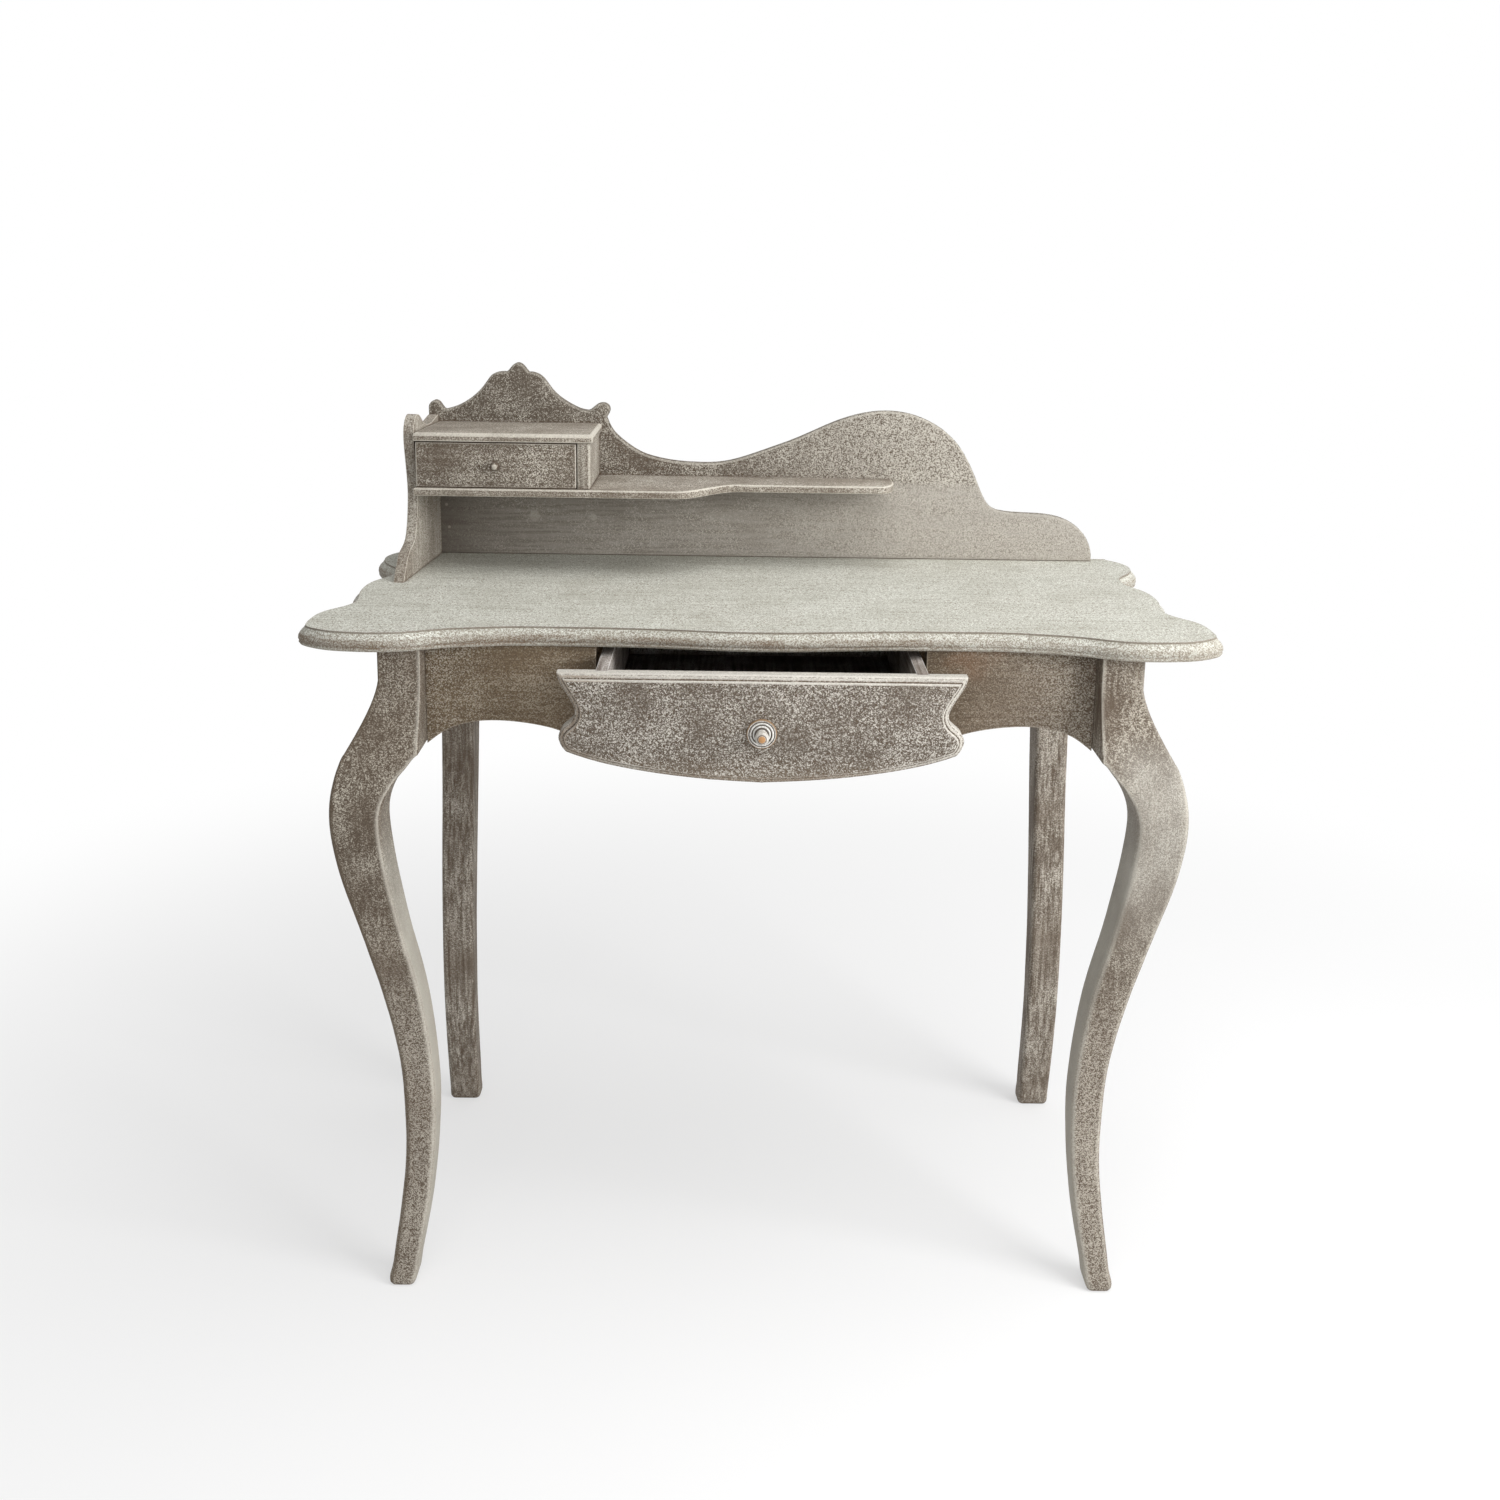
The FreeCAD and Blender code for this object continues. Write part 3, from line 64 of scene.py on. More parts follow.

# ---- top board ---------------------------------------------------------------
# A glued-up softwood board with a serpentine outline and a moulding run round
# it. It is painted: brown undercoat, grey wash, then rubbed back and waxed, so the
# flat is pale and the moulding flecked. The moulding's faces that don't look up
# are painted darker, partly as shade, and its hollow brown, partly a stain and
# partly painted shadow.


class Socket:
    """A socket of a material's tree that takes part in plain sums."""

    def __init__(self, tree, socket=None):
        self.tree, self.socket = tree, socket

    def node(self, kind, settings=None, inputs=None, out=0):
        made = self.tree.nodes.new("ShaderNode" + kind)
        for name, value in (settings or {}).items():
            if name == "stops":
                stops = made.color_ramp.elements
                while len(stops) < len(value):
                    stops.new(0.5)
                for stop, (place, tone) in zip(stops, value):
                    stop.position = place
                    stop.color = (*tone, 1.0)
            else:
                setattr(made, name, value)
        for name, value in (inputs or {}).items():
            if isinstance(value, Socket):
                self.tree.links.new(value.socket, made.inputs[name])
            else:
                made.inputs[name].default_value = value
        return Socket(self.tree, made.outputs[out])

    def maths(self, operation, a, b):
        return self.node("Math", {"operation": operation}, {0: a, 1: b})

    def __add__(self, other):
        return self.maths("ADD", self, other)

    def __radd__(self, other):
        return self.maths("ADD", other, self)

    def __sub__(self, other):
        return self.maths("SUBTRACT", self, other)

    def __rsub__(self, other):
        return self.maths("SUBTRACT", other, self)

    def __mul__(self, other):
        return self.maths("MULTIPLY", self, other)

    def __rmul__(self, other):
        return self.maths("MULTIPLY", other, self)

    def at_least(self, other):
        return self.maths("MAXIMUM", self, other)

    def at_most(self, other):
        return self.maths("MINIMUM", self, other)

    def step(self, low, high):
        return self.node("MapRange", {"interpolation_type": "SMOOTHSTEP"},
                         {"Value": self, "From Min": low, "From Max": high})

    def ramp(self, *stops):
        return self.node("ValToRGB", {"stops": stops}, {"Fac": self})

    def cloud(self, scale, detail=2.0, rough=0.5, shift=0.0):
        # this socket is a place; noise read there, moved by shift
        moved = self.node("VectorMath", {"operation": "ADD"},
                          {0: self, 1: (shift, 0.7 * shift, 1.3 * shift)})
        return self.node("TexNoise", {}, {"Vector": moved, "Scale": scale, "Detail": detail,
                                          "Roughness": rough})

    def part(self, axis):
        return self.node("SeparateXYZ", {}, {0: self}, out=axis)

    def here(self):
        # the place on the piece, in metres
        return self.node("TexCoord", out="Object")

    def facing(self):
        # the way the surface looks, as a direction
        return self.node("NewGeometry", out="Normal")

    def rubbed(self):
        # 1 on an eased edge, 0 elsewhere
        return self.node("Attribute", {"attribute_name": "arris"}, out="Fac")


def coat(over, under, amount):
    # one colour laid over another by an amount; either may be plain numbers
    factor, lower, upper, mixed = 0, 6, 7, 2
    place = over if isinstance(over, Socket) else under
    place = place if isinstance(place, Socket) else amount
    tone = [a if isinstance(a, Socket) else (*a, 1.0) for a in (under, over)]
    return place.node("Mix", {"data_type": "RGBA"},
                      {factor: amount, lower: tone[0], upper: tone[1]}, out=mixed)


def painted(name, along, wash, shade, pale=(0.56, 0.525, 0.455), brown=(0.118, 0.082, 0.054),
            fleck=1.5, bloom=0.9, grain=0.5, grit=950.0, warmth=0.35, rub=0.8, ring=0.6,
            seed=0.0, extra=None):
    """Grey wash over brown undercoat; along is the grain's direction, 0 x, 1 y, 2 z."""
    made = bpy.data.materials.new(name)
    made.use_nodes = True
    tree = made.node_tree
    shader = tree.nodes["Principled BSDF"]
    start = Socket(tree)
    place = start.here()
    across_grain, along_grain = 260.0, 9.0
    stretch = [across_grain] * 3
    stretch[along] = along_grain
    brushed = start.node("Mapping", {}, {"Vector": place, "Scale": tuple(stretch)})
    streaks = brushed.cloud(1.0, 3.0, 0.6, seed)
    flakes = place.node("TexVoronoi", {}, {"Vector": place, "Scale": grit}, out="Color").part(0)
    specks = 0.68 * place.cloud(0.6 * grit, 3.0, 0.75, seed + 1.3) + 0.32 * flakes
    patches = place.cloud(17.0, 2.0, 0.5, seed + 7.7)
    drifts = place.cloud(6.5, 2.0, 0.5, seed + 3.1)
    # wash and specks: one tone that a ramp turns into paint
    tone = ((specks - 0.5) * (0.2 + 1.6 * patches) * fleck + (patches - 0.5) * bloom
            + (streaks - 0.5) * grain + 0.5)
    deep = tuple(0.75 * a for a in brown)
    paint = tone.ramp((0.26, deep), (0.42, shade), (0.53, wash), (0.76, pale))
    # undercoat showing through in drifts along the grain
    thin = ((drifts - 0.5) * 1.2 + (streaks - 0.5) * 0.8 + 0.5).step(0.44, 0.68) * warmth
    paint = coat(tuple(0.5 * (a + 1.25 * b) for a, b in zip(shade, brown)), paint, thin)
    # edges: a brown ring, and the arris itself rubbed back to the pale ground; creases and gaps
    # between parts, found by occlusion, are painted brown as shade and kept from the pale
    flat = start.facing()
    eased = start.node("Bevel", {"samples": 6}, {"Radius": 0.0040})
    bend = 1.0 - start.node("VectorMath", {"operation": "DOT_PRODUCT"}, {0: flat, 1: eased},
                            out="Value")
    # occlusion, for painted shade in creases and gaps
    open_air = start.node("AmbientOcclusion", {"samples": 6}, {"Distance": 0.007},
                          out="AO")
    crease_shade = 1.0 - open_air.step(0.30, 0.78)
    worn = 0.30 + 1.1 * patches
    arris = start.rubbed()
    halo = bend.step(0.004, 0.060) * (1.0 - arris) * ring
    paint = coat(brown, paint, (halo * (1.25 - worn)).at_least(crease_shade * 0.85))
    bare = arris * ((0.7 * patches + 1.0 * specks - 0.15) * rub).at_most(1.0)
    paint = coat(pale, paint, bare.at_least(0.0) * (1.0 - crease_shade))
    if extra:
        paint = extra(start, place, paint, patches, specks)
    tree.links.new(paint.socket, shader.inputs["Base Color"])
    tree.links.new((0.60 + 0.30 * specks).socket, shader.inputs["Roughness"])
    height = tone.step(0.25, 0.80) + 0.35 * streaks
    bump = start.node("Bump", {}, {"Strength": 0.5, "Distance": 0.0007, "Height": height})
    tree.links.new(bump.socket, shader.inputs["Normal"])
    shader.inputs["Specular IOR Level"].default_value = 0.30
    return made


weld = 2e-5  # points of a solid that stand nearer than this are one point


def clear_edges(grid, axis, low=None, skin=1e-4, upright=0.02, slide=0.6):
    # slides the points that stand in a board's sawn edges towards the middle of
    # its thickness, along axis, so that the easing doesn't run over them
    way = max(grid.faces, key=lambda face: face.calc_area()).normal.copy()
    if way[axis] < 0.0:
        way.negate()
    heights = [v.co.dot(way) for v in grid.verts]
    low, high = min(heights) if low is None else low, max(heights)
    for v, height in zip(grid.verts, heights):
        if (low + skin < height < high - skin
                and all(abs(face.normal.dot(way)) < upright for face in v.link_faces)):
            v.co -= way * (slide * (height - 0.5 * (low + high)))


def worked_in(piece):
    # the piece's mesh with its modifier worked in for good
    view = bpy.context.evaluated_depsgraph_get()
    plain = bpy.data.meshes.new_from_object(piece.evaluated_get(view))
    piece.modifiers.clear()
    piece.data = plain
    return plain


def dressed(node, paint, ease=0.0012, segments=2, smooth=38.0,
            shape=None, share=None, sawn=None):
    # a welded copy of the solid with its outer edges eased, standing for the
    # node; share gives the part of the easing that an edge gets, and sawn clears
    # the sawn edges first
    flat_bend, edge_bend, widest_bore = math.radians(0.4), math.radians(35.0), 0.016
    source = nodes[node]
    mesh = source.data.copy()
    piece = bpy.data.objects.new(node + "_wood", mesh)
    bpy.context.scene.collection.objects.link(piece)
    grid = bmesh.new()
    grid.from_mesh(mesh)
    bmesh.ops.remove_doubles(grid, verts=grid.verts, dist=weld)
    if shape:
        shape(grid)
    else:
        bmesh.ops.dissolve_limit(grid, angle_limit=flat_bend, verts=grid.verts,
                                 edges=grid.edges)
    if sawn:
        clear_edges(grid, *sawn)
    weight = grid.edges.layers.float.new("bevel_weight_edge")
    left = {edge for edge in grid.edges if len(edge.link_faces) == 2
            and edge.calc_face_angle_signed(0.0) > edge_bend}
    while left:
        # one run of joined outer edges at a time; the rims of bores stay crisp
        run = [left.pop()]
        for edge in run:
            for v in edge.verts:
                for other in v.link_edges:
                    if other in left:
                        left.discard(other)
                        run.append(other)
        spots = np.array([v.co[:] for edge in run for v in edge.verts])
        if np.ptp(spots, axis=0).max() > widest_bore:
            for edge in run:
                edge[weight] = share(edge) if share else 1.0
    grid.to_mesh(mesh)
    grid.free()
    mesh.materials.clear()
    mesh.materials.append(paint)
    if ease:
        round_over = piece.modifiers.new("eased edges", "BEVEL")
        round_over.width = ease
        round_over.segments = segments
        round_over.limit_method = "WEIGHT"
        round_over.material = 1
        round_over.use_clamp_overlap = False
        round_over.loop_slide = False
        mesh.materials.append(paint)
        plain = worked_in(piece)
        rubbed = plain.attributes.new("arris", "FLOAT", "FACE")
        for k, face in enumerate(plain.polygons):
            rubbed.data[k].value = float(face.material_index)
            face.material_index = 0
        plain.materials.pop(index=1)
    piece.data.name = piece.name
    grid = bmesh.new()
    grid.from_mesh(piece.data)
    for face in grid.faces:
        face.smooth = True
    for edge in grid.edges:
        edge.smooth = edge.calc_face_angle(0.0) < math.radians(smooth)
    grid.to_mesh(piece.data)
    grid.free()
    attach(piece, source["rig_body"])
    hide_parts(node)


def top_wear_and_shade(start, place, paint, patches, specks):
    # the flat is pale and the underside stays brown; the moulding's other faces are painted
    # darker in flecks, partly as shade, and its hollow brown, partly a stain and partly painted
    # shadow
    up = start.facing().part(2)
    height, across = place.part(2), place.part(0)
    under = 1.0 - up.step(-0.9, -0.3)
    side = 1.0 - up.step(0.80, 0.95)
    grit = specks.step(0.62, 0.38)
    # painted shade, in flecks, on the faces that don't look up
    paint = coat((0.245, 0.215, 0.175), paint, side * (0.06 + 0.42 * grit))
    # painted shadow in the moulding's hollow, streaked with a stain
    shaded_hollow = height.step(0.7510, 0.7540) - height.step(0.7610, 0.7640)
    long = place.node("Mapping", {}, {"Vector": place, "Scale": (7.0, 7.0, 60.0)})
    stain = (long.cloud(1.0, 3.0, 0.6, 8.0) - across * 0.22).step(0.40, 0.62)
    paint = coat((0.150, 0.108, 0.072), paint,
                 shaded_hollow * side * (0.40 + 0.60 * stain) * (0.60 + 0.40 * grit))
    paint = coat((0.190, 0.160, 0.125), paint, side * height.step(0.7679, 0.7683) * 0.75)
    paint = coat((0.300, 0.268, 0.222), paint, patches.step(0.52, 0.80) * grit * 0.4)
    return coat((0.170, 0.125, 0.085), paint, under * 0.8)


top_paint = painted("top_paint", 0, (0.520, 0.520, 0.462), (0.330, 0.315, 0.265),
                    pale=(0.700, 0.710, 0.650), brown=(0.200, 0.155, 0.110), fleck=1.0,
                    bloom=0.16, grain=0.26, warmth=0.08, rub=0.9, ring=0.55, extra=top_wear_and_shade)
dressed("desktop", top_paint, ease=0.0)

# ---- legs --------------------------------------------------------------------
# Four cabriole legs sawn from square stock and shaped with spokeshave and rasp;
# the head stays a square block for the joints. The grain runs up the leg.


def fair(grid, low=0.012, high=0.640, spacing=0.006, top=0.7501, per_metre=1000,
         width=50, spread=18.0, fade=0.03):
    # cuts the shaft into short lengths and fairs its long curves, from the least
    # x, -x, y and -y that the leg has at every millimetre of its height
    z = low
    while z < high:
        bmesh.ops.bisect_plane(grid, geom=grid.verts[:] + grid.edges[:] + grid.faces[:],
                               dist=1e-6, plane_co=(0, 0, z), plane_no=(0, 0, 1))
        z += spacing
    levels = np.arange(0.0, top, 1.0 / per_metre)
    reach = np.full((4, len(levels)), np.nan)
    for edge in grid.edges:
        a, b = (v.co for v in edge.verts)
        if a.z > b.z:
            a, b = b, a
        first = math.ceil(a.z * per_metre - 1e-4)
        last = math.floor(b.z * per_metre + 1e-4)
        for k in range(max(0, first), min(len(levels) - 1, last) + 1):
            span = b.z - a.z
            points = [a, b] if span < 1e-7 else [a.lerp(b, (levels[k] - a.z) / span)]
            for p in points:
                for row, value in ((0, p.x), (1, -p.x), (2, p.y), (3, -p.y)):
                    if not reach[row, k] <= value:
                        reach[row, k] = value
    window = np.exp(-0.5 * (np.arange(-width, width + 1) / spread) ** 2)
    window /= window.sum()
    hold = np.clip(np.minimum(levels - low, high - levels) / fade, 0.0, 1.0)
    fairer = []
    for row in reach:
        known = ~np.isnan(row)
        row[:] = np.interp(levels, levels[known], row[known])
        soft = np.convolve(np.pad(row, width, mode="edge"), window, mode="valid")
        fairer.append(hold * soft + (1.0 - hold) * row)
    for v in grid.verts:
        if low < v.co.z < high:
            ends = [(np.interp(v.co.z, levels, r), np.interp(v.co.z, levels, f))
                    for r, f in zip(reach, fairer)]
            for axis, (lo, hi) in ((0, (ends[0], ends[1])), (1, (ends[2], ends[3]))):
                a, b = lo[0], -hi[0]
                share = (v.co[axis] - a) / (b - a)
                v.co[axis] = lo[1] + share * (-hi[1] - lo[1])


def leg_wear_and_light(start, place, paint, patches, specks):
    # the inner sides painted pale as a highlight, the left leg's outer side painted brown as
    # shade
    normal = start.facing()
    height, across = place.part(2), place.part(0)
    facing = normal.part(0) * across
    # painted highlight: the inner sides pale
    inner = (0.0 - facing).step(0.16, 0.36) * height.step(0.60, 0.50)
    paint = coat((0.420, 0.400, 0.345), paint, inner * (0.45 + 0.6 * patches))
    # painted shade: the left leg's outer side brown
    outer = facing.step(0.06, 0.20) * (0.0 - across).step(-0.1, 0.1)
    paint = coat((0.130, 0.095, 0.062), paint, outer * (1.15 - 0.9 * patches))
    # the shins are rubbed paler than the heads; the left heads are painted darkest, as shade
    shin = height.step(0.44, 0.28) * specks.step(0.40, 0.62)
    paint = coat((0.400, 0.365, 0.310), paint, shin * 0.75)
    head = (0.0 - across).step(0.30, 0.36) * height.step(0.40, 0.56)
    paint = coat((0.075, 0.056, 0.039), paint, head * specks.step(0.62, 0.42) * 0.60)
    # the right-hand knee is painted palest of all, a painted highlight
    knee_highlight = across.step(0.360, 0.410) * height.step(0.36, 0.56) * height.step(0.680, 0.630)
    paint = coat((0.470, 0.450, 0.400), paint,
                 knee_highlight * (0.6 * patches + 0.9 * specks - 0.27).at_most(1.0))
    # front arrises: a painted highlight, a pale line on the inner one and a fainter one on the
    # right leg's outer one; painted shade, brown, on the left leg's outer one
    turned = start.node("Bevel", {"samples": 6}, {"Radius": 0.0080}).part(0)
    right = across.step(-0.01, 0.01)
    lean = turned * (2.0 * right - 1.0)
    front = (0.0 - normal.part(1)).step(0.60, 0.85)
    arris_highlight = (0.0 - lean).step(0.12, 0.45) + 0.6 * right * lean.step(0.15, 0.50)
    paint = coat((0.500, 0.470, 0.410), paint, front * arris_highlight * (0.25 + 0.7 * patches))
    return coat((0.115, 0.085, 0.057), paint,
                front * (1.0 - right) * lean.step(0.05, 0.40) * (0.95 - 0.6 * patches))


front_paint = painted("front_leg_paint", 2, (0.158, 0.129, 0.098), (0.094, 0.070, 0.050),
                      pale=(0.430, 0.395, 0.330), warmth=0.40, fleck=1.0, bloom=0.50,
                      grain=0.60, rub=0.45, ring=0.45, seed=11.0, extra=leg_wear_and_light)
rear_paint = painted("rear_leg_paint", 2, (0.215, 0.183, 0.148), (0.128, 0.103, 0.078),
                     fleck=0.8, bloom=0.35, grain=0.9, warmth=0.35, rub=0.4, ring=0.4,
                     seed=17.0)
for side in ("left", "right"):
    dressed("front_leg_" + side, front_paint, ease=0.0, smooth=50.0, shape=fair)
    dressed("rear_leg_" + side, rear_paint, ease=0.0, smooth=50.0, shape=fair)

# ---- aprons ------------------------------------------------------------------
# Scalloped boards tenoned between the leg blocks. The wash is thin on them and
# the brown undercoat shows, with a reddish stain close under the top.


def apron_wear(start, place, paint, patches, specks):
    stain = place.cloud(9.0, 3.0, 0.6, 4.4).step(0.52, 0.66) * place.part(2).step(0.69, 0.745)
    paint = coat((0.185, 0.098, 0.052), paint, stain * 0.55)
    across = place.part(0)
    paint = coat((0.150, 0.100, 0.048), paint, (0.0 - across).step(0.10, 0.26) * 0.30)
    paint = coat((0.230, 0.208, 0.182), paint,
                 across.step(0.18, 0.34) * specks.step(0.38, 0.62) * 0.55)
    # fine salt over the whole board, and pale grit gathered by the leg blocks
    paint = coat((0.085, 0.062, 0.040), paint, specks.step(0.50, 0.30) * 0.75)
    paint = coat((0.330, 0.290, 0.228), paint, specks.step(0.56, 0.74) * 0.45)
    ends = (across * across).step(0.070, 0.130) * (0.3 + 1.2 * patches)
    paint = coat((0.460, 0.420, 0.350), paint, ends * specks.step(0.50, 0.64) * 0.75)
    spots = place.cloud(42.0, 1.0, 0.4, 9.0).step(0.735, 0.765)
    return coat((0.105, 0.038, 0.018), paint, spots * 0.7)


apron_look = dict(wash=(0.148, 0.110, 0.070), shade=(0.100, 0.072, 0.046),
                  pale=(0.390, 0.340, 0.268), fleck=0.9, bloom=0.45, warmth=0.5,
                  rub=0.9, ring=0.5, extra=apron_wear)
apron_paint = painted("apron_paint", 0, grain=0.6, seed=23.0, **apron_look)
side_apron_paint = painted("side_apron_paint", 1, grain=0.6, seed=29.0, **apron_look)
for side in ("left", "right"):
    dressed("front_apron_" + side, apron_paint)
    dressed("side_apron_" + side, side_apron_paint)
dressed("rear_apron", apron_paint)

# ---- frame inside ------------------------------------------------------------
# Rail, runners, kickers and corner blocks of bare softwood, sawn and left
# unpainted, glued and screwed where they are never seen in use.
bare_wood = painted("bare_softwood", 1, (0.330, 0.240, 0.150), (0.240, 0.165, 0.098),
                    pale=(0.450, 0.350, 0.240), brown=(0.140, 0.085, 0.045), fleck=0.35,
                    bloom=0.3, grain=1.3, warmth=0.25, rub=0.2, ring=0.1, seed=31.0)
for node in ("lower_drawer_rail", "drawer_runner_left", "drawer_runner_right",
             "drawer_kicker_left", "drawer_kicker_right", "corner_block_front_left",
             "corner_block_front_right", "corner_block_rear_left",
             "corner_block_rear_right"):
    dressed(node, bare_wood, 0.0006)

# ---- gallery -----------------------------------------------------------------
# Fretted backboard and splayed side panel, housed shelf, box side and lid, all
# nailed and screwed up through the top. The fretted outline has a run bevel.


def from_axis(place, x, z):
    # the distance from a line that runs from front to back at x and z
    flat = place.node("VectorMath", {"operation": "MULTIPLY"},
                      {0: place, 1: (1.0, 0.0, 1.0)})
    return flat.node("VectorMath", {"operation": "DISTANCE"}, {0: flat, 1: (x, 0.0, z)},
                     out="Value")


def backboard_marks_and_shade(start, place, paint, patches, specks):
    # on the front the wash is paler to the right and brushed out under the shelf,
    # where two screw holes are filled
    front = place.part(1).step(0.2515, 0.2460)
    paint = coat((0.470, 0.440, 0.382), paint,
                 place.part(0).step(-0.12, 0.20) * front * specks.step(0.34, 0.60) * 0.90)
    long = place.node("Mapping", {}, {"Vector": place, "Scale": (14.0, 14.0, 240.0)})
    brushed = long.cloud(1.0, 3.0, 0.6, 5.0).step(0.36, 0.62)
    low = place.part(2).step(0.8760, 0.8660) * front
    paint = coat((0.330, 0.306, 0.268), paint, low * (0.42 + 0.30 * brushed))
    # painted shade in the corner under the shelf, by the side panel
    paint = coat((0.075, 0.060, 0.046), paint, low * place.part(0).step(-0.30, -0.42) * 0.62)
    # the crest over the little box is the darkest
    crest = place.part(2).step(0.935, 0.960) * place.part(0).step(-0.16, -0.22) * front
    paint = coat((0.090, 0.073, 0.055), paint, crest * specks.step(0.70, 0.38) * 0.60)
    for x, z, r in ((-0.2960, 0.8215, 0.0085), (-0.2180, 0.8205, 0.0050),
                    (-0.4120, 0.8350, 0.0022), (-0.4090, 0.8050, 0.0022)):
        filled = 1.0 - from_axis(place, x, z).step(0.65 * r, r)
        paint = coat((0.400, 0.365, 0.310), paint, filled * front * 0.55)
    return paint


back_paint = painted("backboard_paint", 0, (0.125, 0.104, 0.080), (0.072, 0.056, 0.042),
                     pale=(0.470, 0.440, 0.380), fleck=1.3, bloom=0.40, grain=0.30,
                     warmth=0.15, rub=0.75, ring=0.85, seed=37.0, extra=backboard_marks_and_shade)
box_paint = painted("box_paint", 0, (0.275, 0.245, 0.202), (0.168, 0.140, 0.110),
                    fleck=1.1, bloom=0.30, grain=0.35, warmth=0.20, rub=1.1, ring=0.9,
                    seed=41.0)
panel_paint = painted("panel_paint", 2, (0.350, 0.322, 0.275), (0.215, 0.185, 0.150),
                      fleck=1.1, bloom=0.35, grain=0.45, warmth=0.20, rub=1.0, ring=0.7,
                      seed=43.0)


def where(axis, place, above, near, far, across=None):
    # one share of the easing on one side of a plane, another on its other side,
    # and none on edges that run along the board's thickness, where it is given
    def pick(edge):
        a, b = (v.co for v in edge.verts)
        if across is not None and abs(b[across] - a[across]) > 0.6 * (b - a).length:
            return 0.0
        return near if (0.5 * (a[axis] + b[axis]) > place) == above else far
    return pick


dressed("gallery_backboard", back_paint, ease=0.0026,
        share=where(1, 0.2440, False, 1.0, 0.3, across=1), sawn=(1,))
dressed("gallery_side_panel", panel_paint, ease=0.0008,
        share=where(0, 0.0, False, 1.0, 1.0, across=0), sawn=(0,))
dressed("gallery_shelf", box_paint, ease=0.0020, segments=3,
        share=where(2, 0.8770, True, 1.0, 0.4), sawn=(2,))
dressed("box_side", panel_paint, ease=0.0026, segments=3,
        share=where(0, -0.2105, True, 1.0, 0.4))
dressed("box_top", box_paint, ease=0.0042, segments=4,
        share=where(2, 0.9450, True, 1.0, 0.35))

# ---- main drawer -------------------------------------------------------------
# Overlay front with a raised field, and a box of thinner boards housed into it
# and nailed, sliding on the runners. The front's faces that look up are rubbed pale
# and painted paler still as light from above.


def drawer_front_wear_and_light(start, place, paint, patches, specks):
    # pale splashes and a browner lower part; the lower and left arrises painted brown as shade,
    # and the faces that look up rubbed pale and painted light from above
    up = start.facing().part(2)
    arris = start.rubbed()
    across, height = place.part(0), place.part(2)
    splash = place.cloud(55.0, 4.0, 0.7, 2.2).step(0.60, 0.72) * across.step(-0.10, 0.12)
    paint = coat((0.480, 0.450, 0.400), paint, splash * specks.step(0.30, 0.55) * 0.75)
    low = height.step(0.660, 0.625) * specks.step(0.66, 0.42)
    paint = coat((0.165, 0.122, 0.082), paint, low * 0.60)
    # painted shade on the lower and left arrises
    shaded_arris = (height.step(0.645, 0.625) + across.step(-0.130, -0.195)).at_most(1.0)
    paint = coat((0.200, 0.138, 0.084), paint, arris * shaded_arris * (1.15 - 0.9 * specks) * 0.8)
    # painted light from above on the faces that look up, partly rubbed
    return coat((0.600, 0.575, 0.520), paint, up.step(0.35, 0.85) * (0.15 + specks * 1.1))


front_look = painted("drawer_front_paint", 0, (0.168, 0.144, 0.117), (0.102, 0.082, 0.064),
                     pale=(0.560, 0.530, 0.475), fleck=1.5, bloom=0.22, grain=0.18,
                     warmth=0.15, rub=1.1, ring=1.0, seed=47.0, extra=drawer_front_wear_and_light)
inside_paint = painted("drawer_box_paint", 1, (0.270, 0.240, 0.215), (0.160, 0.138, 0.122),
                       pale=(0.520, 0.500, 0.480), fleck=0.7, bloom=0.6, grain=0.6,
                       warmth=0.25, rub=1.0, ring=0.3, seed=53.0)
dressed("drawer_front", front_look, ease=0.0014,
        share=where(1, -0.2375, True, 1.0, 0.48, across=1), sawn=(1, -0.235))
for node in ("drawer_side_left", "drawer_side_right", "drawer_back", "drawer_bottom"):
    dressed(node, inside_paint, 0.0008)

# ---- small drawer ------------------------------------------------------------
# A nailed box with a flat front that fills the opening to a knife's gap; its
# front edges are rounded over and rubbed pale.
small_paint = painted("small_drawer_paint", 0, (0.160, 0.134, 0.105), (0.100, 0.078, 0.058),
                      fleck=1.1, bloom=0.28, grain=0.30, warmth=0.15, rub=1.1, ring=0.9,
                      seed=61.0)
dressed("small_drawer_front", small_paint, ease=0.0016, segments=3)
for node in ("small_drawer_side_left", "small_drawer_side_right", "small_drawer_back",
             "small_drawer_bottom"):
    dressed(node, inside_paint, 0.0005)

# ---- knobs -------------------------------------------------------------------
# Turned hardwood knobs, painted, and worn brown where fingers hold them. The
# larger one stands on a turned rosette; each is held by a screw from inside.


